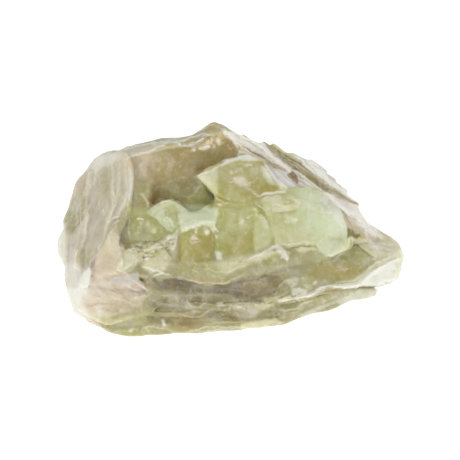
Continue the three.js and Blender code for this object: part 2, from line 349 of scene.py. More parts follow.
@dataclass(frozen=True)
class Vein:
    """A line: a thin pale rim, a white crack or a dark slit.

    It fades over wide squares to each side, and out over the share taper of its length at the ends. It stands
    out by lift (mm), or is cut in where that is less than 0.
    """

    THIN_END = 0.35

    tint: Tint
    cover: float
    wide: float
    points: str
    lift: float = 0.0
    taper: float = 0.35

    def cover_at(self, spots: Spots) -> tuple[Array, Array]:
        """Finds which spots lie on the vein.

        Args:
            spots: Where the corners of the skin are on the drawing.

        Returns:
            The numbers of the spots near it, and from 0 to 1 how near the middle of the vein each is.
        """
        corners = path(self.points)
        near = spots.near(corners, self.wide)
        spot = spots.places[near]
        best = np.full(len(near), np.inf)
        along = np.zeros(len(near))
        lengths = np.linalg.norm(np.diff(corners, axis=0), axis=1)
        done = 0.0
        for start, end, length in zip(corners, corners[1:], lengths):
            gap, share = distance_to(spot, start, end)
            closer = gap < best
            best = np.where(closer, gap, best)
            along = np.where(closer, done + share * length, along)
            done += length
        share = along / done
        end_fade = smooth_step(0.0, max(self.taper, 1e-3), np.minimum(share, 1.0 - share) * 2.0)
        return near, smooth_step(self.wide, 0.0, best) * (self.THIN_END + (1.0 - self.THIN_END) * end_fade)


def distance_to(spots: Array, start: Array, end: Array) -> tuple[Array, Array]:
    """Measures from spots to a straight piece of line.

    Args:
        spots: Squares right and down, one spot to a row.
        start: One end of the line.
        end: Its other end.

    Returns:
        How far each spot is from the line, and the share of the line at which it is nearest.
    """
    run = end - start
    share = np.clip((spots - start) @ run / max(run @ run, 1e-9), 0.0, 1.0)
    return np.linalg.norm(spots - start - share[:, None] * run, axis=1), share


@dataclass(frozen=True)
class Glint:
    """A small facet that is tipped to the main light, by up to depth (mm), and given a painted highlight."""

    outline: str
    soft: float = 0.7
    depth: float = 0.22


@dataclass(frozen=True)
class Crumbs:
    """Many small broken bits inside an outline.

    They are about size squares long, and stand out or lie back by up to lift (mm). A share are glints.
    """

    outline: str
    count: int
    size: float
    tints: tuple[Tint, ...]
    cover: float = 0.5
    lift: float = 0.1
    angle_deg: float = 0.0
    stretch: float = 1.0
    glints: float = 0.0

    def scattered(self) -> list["Chip | Glint"]:
        """Scatters the crumbs, each with four to six corners.

        Returns:
            The crumbs.
        """
        corners = path(self.outline)
        draw = np.random.default_rng(int(corners.sum()) + self.count)
        turn = math.radians(self.angle_deg)
        along = np.array([math.cos(turn), math.sin(turn)])
        aside = np.array([-along[1], along[0]])
        made: list[Chip | Glint] = []
        while len(made) < self.count:
            middle = draw.uniform(corners.min(axis=0), corners.max(axis=0))
            if not is_inside(middle[None], corners)[0]:
                continue
            size = self.size * draw.uniform(0.45, 1.25)
            angles = np.sort(draw.uniform(0.0, 2.0 * math.pi, draw.integers(4, 7)))
            reach = size * draw.uniform(0.65, 1.25, (len(angles), 1))
            ring = middle + reach * (np.cos(angles)[:, None] * along * self.stretch
                                     + np.sin(angles)[:, None] * aside)
            outline = " ".join(f"{x:.2f},{y:.2f}" for x, y in ring)
            if draw.random() < self.glints:
                made.append(Glint(outline, soft=0.6))
                continue
            tint = self.tints[draw.integers(len(self.tints))]
            lift = self.lift * draw.uniform(-0.7, 1.0)
            made.append(Chip(tint, self.cover * draw.uniform(0.5, 1.2), 0.35 + 0.25 * size, outline, lift))
        return made


@dataclass(frozen=True)
class Grain:
    """Long parallel ridges.

    They run at an angle, stand spacing (mm) apart and height (mm) high, and colour the stone by tone.
    """

    angle_deg: float
    spacing: float
    height: float
    stretch: float = 9.0
    tone: float = 1.0


Mark = Chip | Vein | Crumbs | Glint


class Area:
    """One part of the front, with its own grain and all that is drawn on it."""

    def __init__(self, outline: str, *marks: Mark, grain: Grain | None = None) -> None:
        """Gathers what is drawn.

        Args:
            outline: The part's corners in squares.
            marks: The marks, from the lowest to the one drawn last.
            grain: The ridges that run over it, if there are any.
        """
        self.patch = Patch(outline)
        self.grain = grain
        self.glints = [mark for mark in marks if isinstance(mark, Glint)]
        self.marks: list[Chip | Vein] = []
        self.loose_glints: list[Glint] = []
        for mark in marks:
            for bit in mark.scattered() if isinstance(mark, Crumbs) else (mark,):
                if isinstance(bit, (Chip, Vein)):
                    self.marks.append(bit)
                elif bit is not mark:
                    self.loose_glints.append(bit)


# The rows below give the fields in the order in which the classes above have them, and T stands for Tint
T = Tint

# The smooth beige curtain on the left
CURTAIN = Area(
    "127,157 122,150 104,153 88,165 70,198 53,250 66,292 80,300 92,258 106,232 120,216 132,186 136,164",
    Chip(T.BEIGE, 0.85, 2, "127,157 122,150 104,153 88,165 70,198 53,250 66,292 80,300 92,258 106,232 "
        "120,216 132,186 136,164"),
    Chip(T.FROST, 0.8, 4, "90,166 96,156 112,153 122,154 113,164 104,170 96,174"),
    Chip(T.FROST, 0.3, 3, "88,168 96,166 97,184 94,202 88,200 85,184"),
    Chip(T.KHAKI, 0.4, 4, "98,168 111,164 112,190 104,200 98,194"),
    Chip(T.ASH, 0.35, 4, "97,198 108,198 108,222 98,246 86,246 88,212"),
    Chip(T.CREAM, 0.35, 3, "112,162 126,160 122,190 114,212 104,236 98,250 100,232 108,206 112,184"),
    Chip(T.KHAKI, 0.6, 3, "72,198 80,188 85,200 82,216 75,236 67,236 64,220"),
    Chip(T.OLIVE, 0.35, 4, "66,214 74,210 80,216 76,232 68,230"),
    Chip(T.SMOKE, 0.35, 2.2, "81,202 88,199 84,212 76,226 80,212"),
    Chip(T.FROST, 0.8, 2.5, "64,226 57,238 53,251 60,264 66,262 67,240"),
    Chip(T.ASH, 0.4, 4, "66,238 84,236 84,250 70,254"),
    Chip(T.KHAKI, 0.6, 2.5, "78,250 91,249 90,264 84,268 78,262", -0.1),
    Chip(T.FROST, 0.45, 4, "62,262 78,264 84,274 80,290 76,302 66,292"),
    Chip(T.BLUSH, 0.9, 1.2, "96,253 98,256 97,266 95,277 91,278 90,268", -0.2),
    Chip(T.LILAC, 0.35, 3, "128,176 134,166 136,180 131,198 126,212 118,218 122,206"),
    Chip(T.BEIGE, 0.5, 2, "124,206 129,206 124,216 118,224 112,230 114,222"),
    Crumbs("126,158 104,155 88,168 72,200 58,246 68,290 78,296 92,256 106,230 122,206", 90, 2, (T.FROST,
        T.BEIGE, T.ASH, T.TAN), 0.28, 0.03, angle_deg=100, stretch=4),
    Crumbs("90,160 124,156 120,200 100,240 84,256 84,200", 70, 1.1, (T.FROST, T.CREAM, T.TAN, T.KHAKI), 0.35,
        0.05, angle_deg=98, stretch=6),
    Crumbs("64,210 84,190 84,256 70,262", 40, 1.3, (T.KHAKI, T.FROST, T.OLIVE, T.ASH), 0.35, 0.06,
        angle_deg=105, stretch=3.5),
    # Painted highlight: small bright glinting specks
    Crumbs("98,219 108,204 110,206 100,222", 8, 0.7, (T.FROST,), 0.8),
    Crumbs("76,200 86,176 94,190 82,204", 9, 0.8, (T.UMBER, T.BARK, T.FROST), 0.4),
    Vein(T.UMBER, 0.6, 1.3, "83,215 79,223 73,231", -0.3),
    Vein(T.FROST, 0.4, 2.4, "92,201 88,209 86,222 85,240", 0.12),
    Vein(T.FROST, 0.35, 2, "111,160 112,175 113,192 116,202", 0.1),
    Vein(T.FROST, 0.4, 2.6, "126,158 126,175 127,193 122,208 114,218", 0.06),
    Vein(T.CREAM, 0.35, 3, "131,160 132,176 130,192 126,208 122,218", 0.05),
    Vein(T.FROST, 0.35, 2.2, "119,164 119,182 116,200 108,222", 0.05),
    Vein(T.TAN, 0.4, 2.6, "105,166 106,186 104,206", -0.05),
    Vein(T.TAN, 0.35, 1.8, "122,176 121,196 114,212", -0.05),
    Vein(T.FROST, 0.35, 2.4, "110,210 107,221 104,240 98,250", 0.12),
    # Painted highlight: a short white streak
    Vein(T.FROST, 0.7, 1.3, "78,249 75,257", 0.15, taper=0),
    Vein(T.FROST, 0.55, 1.3, "101,243 98,248 101,252 96,255 91,262 90,268", 0.15),
    Vein(T.SMOKE, 0.5, 1, "113,221 118,218 121,219", -0.15),
    Vein(T.SMOKE, 0.45, 0.9, "113,226 117,223 121,223", -0.1),
    Vein(T.FROST, 0.6, 1.1, "112,219 120,216", 0.15),
    Vein(T.FROST, 0.6, 1, "113,224 119,220", 0.15),
    Glint("103,210 105,210 105,212 103,212"),
    Glint("107,206 109,207 108,209 107,208"),
    grain=Grain(angle_deg=79, spacing=3.4, height=0.08, stretch=7, tone=0.45),
)

# The pale lobes below the curtain
LOBES = Area(
    "113,230 124,252 134,246 140,258 138,272 152,278 150,290 140,312 104,320 84,318 68,300 80,292 90,266 "
        "104,244",
    Chip(T.FROST, 0.75, 4, "64,288 86,288 84,304 92,316 82,322 68,308"),
    Chip(T.PEACH, 0.85, 3, "92,274 110,272 126,272 141,273 152,278 151,289 141,302 132,314 118,318 102,320 "
        "90,312 84,300 86,286"),
    Chip(T.BLUSH, 0.45, 4, "92,276 134,276 146,288 140,300 120,300 96,292"),
    Chip(T.PEACH, 0.75, 3, "112,230 117,237 121,246 124,253 122,264 114,274 98,280 95,264 99,252 104,243 "
        "107,236", 0.1),
    Chip(T.CREAM, 0.4, 3, "112,232 119,240 123,252 118,260 106,258 104,244"),
    Chip(T.CREAM, 0.8, 1.4, "125,252 133,247 138,256 137,264 131,270 124,273 117,271 120,262", 0.3),
    Chip(T.MINT, 0.4, 2.5, "125,255 132,251 135,260 128,268 121,268"),
    Chip(T.FROST, 0.85, 1.2, "133,254 138,256 138,261 134,265"),
    Chip(T.FROST, 0.9, 1.3, "89,266 84,272 80,281 78,292 86,294 90,284 91,272", 0.3),
    Chip(T.FROST, 0.6, 4, "80,286 92,284 92,300 82,304 74,298"),
    Chip(T.BLUSH, 0.5, 2.5, "112,283 130,279 142,284 138,296 125,298 114,290", -0.12),
    Chip(T.TAN, 0.6, 3, "108,302 128,297 142,301 133,313 114,314"),
    Chip(T.SMOKE, 0.5, 1.6, "137,291 146,289 148,294 139,296", -0.25),
    Chip(T.FROST, 0.6, 1.8, "96,306 103,306 103,316 98,317", 0.1),
    Chip(T.KHAKI, 0.8, 1.8, "138,262 150,268 150,276 139,275", -0.2),
    Chip(T.BARK, 0.5, 1.6, "139,278 150,276 152,287 146,288", -0.2),
    Crumbs("92,276 148,278 140,312 100,318 86,300", 70, 3, (T.PEACH, T.BLUSH, T.CREAM, T.TAN), 0.3, 0.04,
        angle_deg=10, stretch=2.6),
    Crumbs("92,278 146,280 138,304 96,308", 60, 1, (T.FROST, T.TAN, T.CREAM, T.BLUSH), 0.45, 0.06,
        angle_deg=14, stretch=4.5),
    Crumbs("96,306 140,304 132,318 104,320", 30, 1.2, (T.TAN, T.CREAM, T.PISTACHIO), 0.45, 0.05, angle_deg=8,
        stretch=3),
    Crumbs("100,240 118,238 122,262 98,274", 24, 2.6, (T.PEACH, T.CREAM, T.TAN), 0.3, 0.03, angle_deg=110,
        stretch=2),
    Crumbs("118,252 138,248 138,268 118,272", 14, 1.3, (T.FROST, T.MINT, T.KHAKI), lift=0.12),
    Vein(T.FROST, 0.6, 1.2, "112,230 108,236 110,242", 0.15),
    Vein(T.FROST, 0.85, 1.4, "113,230 117,236 121,244 124,253", 0.2),
    Vein(T.FROST, 0.85, 1.4, "125,252 129,250 131,251 134,247 136,252 138,257", 0.2),
    Vein(T.FROST, 0.5, 1, "125,254 123,262 118,267 118,271 126,273 134,268", 0.1),
    Vein(T.BLUSH, 0.6, 1.6, "98,275 112,276 126,275 138,276", -0.1),
    Vein(T.FROST, 0.8, 1.2, "131,279 136,281 140,286 148,289", 0.25),
    Vein(T.CREAM, 0.45, 1.6, "96,318 112,317 130,317 140,309 150,304", 0.1),
    Vein(T.FROST, 0.4, 1.2, "92,300 106,296 122,300 136,306", 0.08),
    Vein(T.TAN, 0.45, 1.4, "98,308 112,312 126,308 140,300", -0.06),
    Vein(T.FROST, 0.45, 1.1, "104,284 116,280 130,286 144,294", 0.1),
    Vein(T.SMOKE, 0.4, 1.3, "126,288 134,292 142,293", -0.1),
    Vein(T.TAN, 0.6, 1.6, "96,287 108,289 120,295 134,299", -0.1),
    Vein(T.TAN, 0.7, 1.2, "110,283 118,291 126,298", -0.12),
    Vein(T.CREAM, 0.6, 1.4, "92,281 106,282 116,287 124,288", 0.1),
    Vein(T.CREAM, 0.5, 1.3, "112,296 124,296 136,302", 0.1),
    Vein(T.TAN, 0.5, 1.4, "86,308 98,303 110,304", -0.1),
    Vein(T.SMOKE, 0.7, 1, "88,285 89,287", -0.2, taper=0),
    Glint("134,256 137,257 138,261 135,263 134,260"),
    Glint("122,267 125,267 125,270 122,270"),
    Glint("119,309 123,309 122,311 119,311"),
    grain=Grain(angle_deg=10, spacing=2.6, height=0.09, stretch=4, tone=0.5),
)

# The golden wall and the roof line at the upper left
WALL = Area(
    "122,150 168,142 200,131 212,123 224,129 240,146 236,154 196,177 202,186 194,200 172,199 152,208 131,210 "
        "134,176 126,158",
    Chip(T.OCHRE, 0.95, 1.5, "126,157 150,150 165,145 182,146 200,138 222,130 238,145 240,152 225,160 "
        "210,170 197,177 202,186 194,200 184,204 172,199 158,204 150,208 131,210 134,176"),
    Chip(T.PEACH, 0.85, 7, "124,157 150,150 160,154 154,172 142,182 132,182"),
    Chip(T.KHAKI, 0.4, 4, "150,148 178,146 188,152 176,160 154,160"),
    Chip(T.BARK, 0.5, 4, "190,150 216,148 232,140 238,150 222,160 208,170 198,177 188,172"),
    Chip(T.OLIVE, 0.3, 3, "207,152 224,150 226,160 212,168 206,164"),
    Chip(T.BARK, 0.55, 3.5, "156,182 168,180 188,178 200,178 202,187 194,200 184,203 170,199 158,203"),
    Chip(T.MOSS, 0.4, 4, "164,184 192,182 190,200 170,200"),
    Chip(T.BARK, 0.6, 2.4, "149,184 158,181 166,184 164,196 156,204 149,206"),
    Chip(T.TAN, 0.5, 2.5, "146,180 154,180 155,206 148,208", 0.35),
    Chip(T.BARK, 0.8, 1.2, "197,178 202,182 201,189 194,198 193,195 197,187"),
    Chip(T.KHAKI, 0.85, 3, "135,176 149,178 150,202 142,206 131,209"),
    Chip(T.MOSS, 0.35, 4, "136,184 147,184 148,198 138,202"),
    # Painted light: a pale patch that offsets the shade of the pocket under the tooth
    Chip(T.PISTACHIO, 0.8, 4, "200,180 206,186 217,198 214,210 200,208 192,204 196,190", 0.2),
    Chip(T.BEIGE, 0.5, 4, "130,158 144,160 142,182 136,206 130,212 131,188"),
    Chip(T.BEIGE, 0.85, 1.6, "119,151 140,146 160,143 170,142 160,147 150,152 127,158", 0.1),
    Chip(T.KHAKI, 0.85, 1.2, "168,143 182,137 200,131 212,123 222,127 226,131 214,134 203,134 190,138 "
        "180,141",
        0.1),
    Chip(T.BARK, 0.35, 2, "184,139 200,132 210,125 214,130 202,133"),
    Chip(T.OCHRE, 0.8, 1.5, "200,131 211,123 220,124 226,130 214,131"),
    Chip(T.BARK, 0.5, 1.2, "186,140 204,135 212,136 206,139 196,144 186,144"),
    Chip(T.AMBER, 0.2, 3, "225,139 233,140 235,149 227,153 223,146"),
    Chip(T.ASH, 0.6, 2, "236,148 244,146 243,154 236,156"),
    # Painted highlight: a frost patch under the glints at the wall's top
    Chip(T.FROST, 0.35, 1, "190,151 194,146 205,143 209,140 211,147 203,150 197,149"),
    Chip(T.FROST, 0.8, 1.4, "221,129 230,132 241,141 240,147 234,141 226,137", 0.15),
    Chip(T.FROST, 0.5, 2.5, "137,162 143,163 142,169 138,171"),
    Chip(T.CREAM, 0.85, 1.2, "139,193 144,193 151,204 149,206 143,199", 0.15),
    Crumbs("134,162 206,148 196,176 160,182 138,182", 60, 4, (T.OCHRE, T.KHAKI, T.BARK, T.TAN), 0.28, 0.04,
        angle_deg=94, stretch=1.8),
    Crumbs("152,186 196,182 190,200 156,204", 40, 2, (T.OLIVE, T.MOSS, T.KHAKI, T.BARK), 0.3, 0.08,
        angle_deg=30, stretch=2),
    Crumbs("134,182 148,182 148,202 134,206", 16, 2, (T.MOSS, T.KHAKI, T.PISTACHIO), 0.35, 0.06),
    # Partly painted highlight: frost specks among the ochre and umber bits
    Crumbs("188,146 212,138 228,132 234,140 212,150 190,153", 26, 1.2, (T.FROST, T.OCHRE, T.UMBER), 0.6,
        angle_deg=150, stretch=1.8, glints=0.35),
    Vein(T.FROST, 0.6, 1.7, "124,159 136,155 150,152 158,147 168,143", 0.2),
    Vein(T.LILAC, 0.9, 1.7, "168,144 180,141.5 190,138 203,134.5 213,134.5", 0.25),
    Vein(T.LILAC, 0.85, 1.5, "174,143 182,145.5 189,146 196,143 201,139 207,136", 0.2),
    Vein(T.FROST, 0.5, 1.3, "197,133 204,129 208,125.5 214,124.5", 0.1),
    Vein(T.FROST, 0.7, 2, "118,151 132,147 150,144 166,142 176,140"),
    Vein(T.KHAKI, 0.7, 1.3, "178,182 184,181 188,178", 0.1),
    Vein(T.CREAM, 0.6, 1.2, "182,177 185,177", 0.1, taper=0),
    Vein(T.UMBER, 0.6, 1.5, "150,204 153,208", -0.1, taper=0),
    Glint("190,152 191,148 194,146 195,149 196,152"),
    Glint("198,150 199,147 203,145 206,144 209,140 210,144 211,148 207,149 203,150"),
    Glint("210,139 212,136 213,138 212,142 212,145 211,145"),
    Glint("216,138 218,136 221,139 221,145 219,146 217,142"),
    Glint("222,131 226,131 229,134 232,137 227,136"),
    grain=Grain(angle_deg=88, spacing=4, height=0.05, stretch=6, tone=0.35),
)

# The honey tooth that stands out over the hollow
TOOTH = Area(
    "196,177 216,167 226,159 244,154 262,160 274,180 280,188 262,194 246,205 228,205 211,198",
    Chip(T.HONEY, 0.95, 1.2, "196,177 216,167 230,161 245,159 259,161 268,170 275,184 280,188 262,194 "
        "246,205 228,205 211,198"),
    Chip(T.PISTACHIO, 0.2, 5, "218,172 232,170 236,196 222,196 216,186"),
    Chip(T.HONEY, 0.2, 5, "236,164 258,163 264,178 256,190 244,192 238,180"),
    Chip(T.PISTACHIO, 0.35, 4, "224,188 244,190 252,198 244,204 228,203"),
    # Painted light: a paler tint on the right of the tooth's face, which tilts away from the key light
    Chip(T.PISTACHIO, 0.2, 4, "239,163 262,163 274,180 266,192 250,194 238,186"),
    Chip(T.HONEY, 0.6, 3, "256,182 272,184 270,191 262,193 254,190", -0.05),
    Chip(T.PISTACHIO, 0.9, 1.2, "196,177 203,173 217,167 218,180 217,196 212,197 207,190 203,182", -0.15),
    Chip(T.CREAM, 0.6, 2.5, "198,176 216,168 215,182 208,186 203,178"),
    Chip(T.FROST, 0.8, 1.3, "216,168 226,160 240,155 254,155 264,161 252,162 238,161 226,164", -0.08),
    Chip(T.MINT, 0.7, 1.8, "261,166 269,170 277,186 270,184 264,178", 0.12),
    Chip(T.FROST, 0.6, 2, "263,167 268,170 271,180 266,177"),
    # Painted highlight: the pale glare on the tooth's face, in a chip and glinting crumbs
    Chip(T.CREAM, 0.6, 1.3, "230,177 236,178 240,176 247,180 251,186 242,188 234,183"),
    Crumbs("229,177 242,176 251,183 248,188 238,187 231,183", 14, 1.4, (T.FROST, T.CREAM), 0.7, angle_deg=25,
        stretch=1.6, glints=0.5),
    Crumbs("226,170 258,166 264,182 246,198 224,190", 30, 4.5, (T.HONEY,), 0.35, angle_deg=90),
    Crumbs("220,166 258,162 268,184 246,202 222,194", 46, 2.6, (T.HONEY, T.MOSS, T.PISTACHIO, T.CREAM), 0.28,
        0.05, angle_deg=90, stretch=1.8),
    Crumbs("228,168 256,163 258,178 248,192 230,180", 34, 0.9, (T.CREAM, T.PISTACHIO, T.OLIVE), 0.6,
        glints=0.3),
    Crumbs("200,175 216,169 215,194 206,186", 12, 1.6, (T.FROST, T.PISTACHIO), 0.35, 0.05, angle_deg=92,
        stretch=4),
    Vein(T.FROST, 0.8, 1.3, "195,177 204,173.5 217,167.5", 0.15),
    # Painted light: a pale raised vein that fills the crease under the tooth's left edge and offsets its
    # shade
    Vein(T.PISTACHIO, 0.6, 3.6, "199,180 203,188 211,198", 0.2, taper=0.1),
    Vein(T.FROST, 0.8, 1.4, "196,178 202,179 204,185 208,191 212,197", 0.1),
    Vein(T.CREAM, 0.95, 1.6, "213,195 217,199 223,202 229,204", 0.3, taper=0.2),
    Vein(T.HONEY, 0.5, 3, "214,203 232,205 250,204", 0.35),
    Vein(T.FROST, 0.7, 1.2, "217,167 228,159.5 242,155.5 256,157 264,161", 0.15),
    Vein(T.CREAM, 0.7, 1.4, "245,189 251,190 254,193 258,196 263,195", 0.12),
    Vein(T.FROST, 0.5, 1.3, "263,162 271,176 279,187", 0.1),
    Glint("230,177 233,178 236,177 240,177 243,178 246,178 245,181 249,184 245,187 242,187 238,184 235,184 "
        "233,181"),
    Glint("243,165 246,164 251,164 252,167 248,166 244,167"),
    Glint("230,170 232,170 233,173 234,176 231,174"),
    Glint("235,171 237,169 238,171 236,173"),
    Glint("266,172 269,173 271,180 268,178"),
    grain=Grain(angle_deg=86, spacing=2.4, height=0.03, stretch=6, tone=0.45),
)

# The green block in the middle
MIDDLE_BLOCK = Area(
    "215,205 235,204 252,203 264,212 271,224 276,244 262,252 245,258 221,258 215,244",
    Chip(T.MOSS, 0.95, 1.6, "215,205 235,203 252,203 264,212 271,224 276,244 262,252 245,258 221,258 215,244"
        ),
    Chip(T.HONEY, 0.5, 3, "215,205 234,203 252,203 252,207 232,208 216,210"),
    Chip(T.PISTACHIO, 0.5, 5, "224,208 250,207 252,228 240,232 226,228"),
    Chip(T.HONEY, 0.55, 4, "226,234 253,230 253,252 236,257 224,256"),
    Chip(T.PISTACHIO, 0.8, 1.8, "255,211 268,219 273,236 268,246 255,251 254,230", 0.08),
    Chip(T.FROST, 0.5, 2.5, "260,216 268,220 271,228 264,227"),
    Chip(T.CREAM, 0.4, 3, "256,232 268,234 266,246 256,248"),
    Chip(T.HONEY, 0.45, 2.5, "230,207 240,207 238,214 232,214"),
    Crumbs("248,199 256,203 264,211 272,222 274,232 270,231 260,216 252,207", 22, 1.1, (T.OLIVE, T.HONEY,
        T.CREAM), 0.7, 0.05, angle_deg=48, stretch=2.5),
    Crumbs("218,208 250,206 252,254 222,256", 44, 3.2, (T.MOSS, T.HONEY, T.PISTACHIO), 0.25, 0.04,
        angle_deg=92, stretch=2),
    Crumbs("255,212 270,222 270,246 256,250", 16, 2.2, (T.CREAM, T.PISTACHIO, T.MINT), 0.35, 0.04),
    Crumbs("214,226 220,226 222,260 210,262", 16, 1.2, (T.OLIVE, T.CREAM, T.BARK), 0.6),
    Vein(T.HONEY, 0.5, 1.3, "253,222 253,238 252,252"),
    Vein(T.OLIVE, 0.6, 1.6, "215,236 214,246 214,256", -0.2),
    Vein(T.HONEY, 0.95, 1.9, "249,201 257,206 263,213 269,221 272,232", -0.05),
    Vein(T.OLIVE, 0.5, 1.2, "252,202 258,206 263,211", -0.1),
    Vein(T.CREAM, 0.85, 1.4, "255,203 262,208 270,216 273,224", 0.15),
    Vein(T.FROST, 0.9, 1.2, "215,229 217,232", 0.1, taper=0),
    Vein(T.FROST, 0.8, 1.1, "216,235 217,238", 0.1, taper=0),
    Glint("241,220 243,217 245,218 243,222 242,225 240,223"),
    Glint("246,217 249,216 251,214 252,215 249,218 247,218"),
)

# The large mint block right of it
MINT_BLOCK = Area(
    "262,196 280,187 304,186 322,190 334,204 343,216 350,238 349,249 332,256 316,262 312,250 285,250 277,246 "
        "272,232",
    Chip(T.PISTACHIO, 0.95, 1.2, "260,196 280,187 304,186 322,190 334,204 343,216 350,238 349,249 332,256 "
        "316,262 312,250 285,250 277,246 272,232"),
    Chip(T.HONEY, 0.55, 2.5, "262,184 276,183 280,190 276,196 262,197"),
    Chip(T.MINT, 0.85, 7, "300,190 322,194 338,212 346,234 328,236 304,232"),
    Chip(T.HONEY, 0.25, 6, "268,206 290,212 286,226 270,222"),
    Chip(T.CREAM, 0.45, 5, "276,228 306,231 312,242 290,246 277,245"),
    Chip(T.FROST, 0.65, 3, "322,190 334,203 343,216 349,236 343,232 330,214 320,208"),
    Chip(T.MINT, 0.5, 2.4, "317,244 330,233 344,230 349,236 349,249 332,255 317,261", -0.1),
    Chip(T.ASH, 0.35, 4, "320,246 334,237 344,238 342,246 326,254"),
    # Painted highlight: pale patches where the mint block's upper left catches the light
    Chip(T.CREAM, 0.6, 1.2, "263,200 266,197 276,195 285,198 286,202 278,205 267,204", -0.1),
    Chip(T.CREAM, 0.6, 1.2, "272,208 280,205 288,203 300,203 299,209 287,211 273,212", 0.1),
    Chip(T.MINT, 0.6, 2, "284,215 299,217 296,223 287,223", 0.05),
    Crumbs("276,214 312,210 318,240 280,244", 40, 3.4, (T.PISTACHIO, T.CREAM, T.MINT), 0.26, 0.04),
    Crumbs("300,190 322,191 338,210 330,222 304,214", 46, 2.6, (T.FROST, T.MINT, T.PISTACHIO, T.KHAKI), 0.36,
        angle_deg=115, stretch=1.6),
    Crumbs("262,195 300,194 300,212 266,210", 34, 1.1, (T.CREAM, T.FROST, T.MOSS), lift=0.08, angle_deg=10,
        stretch=2, glints=0.35),
    Crumbs("320,236 346,234 346,248 322,256", 20, 2.4, (T.MINT, T.KHAKI, T.FROST), 0.3, 0.05),
    Crumbs("330,200 350,236 349,250 322,261 318,256 344,246 340,226", 30, 1.2, (T.FROST, T.MINT), 0.6),
    Vein(T.OLIVE, 0.8, 1.5, "283,249.5 291,248.5 298,246.5 308,245.5 316,246", -0.25),
    Vein(T.BARK, 0.6, 1.3, "314,246 319,250", -0.15),
    Vein(T.FROST, 0.6, 1.4, "279,245 292,244 304,242 316,243", 0.1),
    Vein(T.FROST, 0.9, 2, "350,249 342,251 334,255 326,257 318,261", 0.15),
    Vein(T.FROST, 0.95, 2, "322,189 330,198 338,207 343,217 347,228 350,240 348,249", 0.1),
    Vein(T.HONEY, 0.8, 1.6, "250,201 256,198 266,195.5 276,194.5 288,194.5", -0.15),
    Vein(T.FROST, 0.85, 1.6, "258,195.5 264,193.5 276,192 286,191.5", 0.15),
    Vein(T.FROST, 0.3, 1.5, "317,244 325,237.5 334,232 344,230"),
    Vein(T.MOSS, 0.6, 1.3, "274,213.5 286,213 298,211", -0.08),
    Vein(T.MOSS, 0.6, 1.2, "268,205.5 278,207 288,203 296,203", -0.08),
    Vein(T.CREAM, 0.8, 1.4, "288,196 296,197 301,201 297,205", 0.1),
    Vein(T.MOSS, 0.5, 1.1, "284,198 290,201 297,203", -0.06),
    Vein(T.FROST, 0.6, 1.4, "318,213 326,212 334,213", 0.08),
    Glint("267,200 274,198.5 281,199 279,201.5 272,202.5", soft=1.4),
    Glint("262,199 265,197 270,196 266,199", soft=0.6),
    Glint("276,209 284,206 290,205.5 296,206 290,208 284,210", soft=1.2),
    Glint("290,199 295,198 300,200 300,203 297,204 294,202"),
    Glint("262,195 268,193 277,192 286,192 285,194 272,195"),
    Glint("288,218 297,219 296,222 292,221"),
)

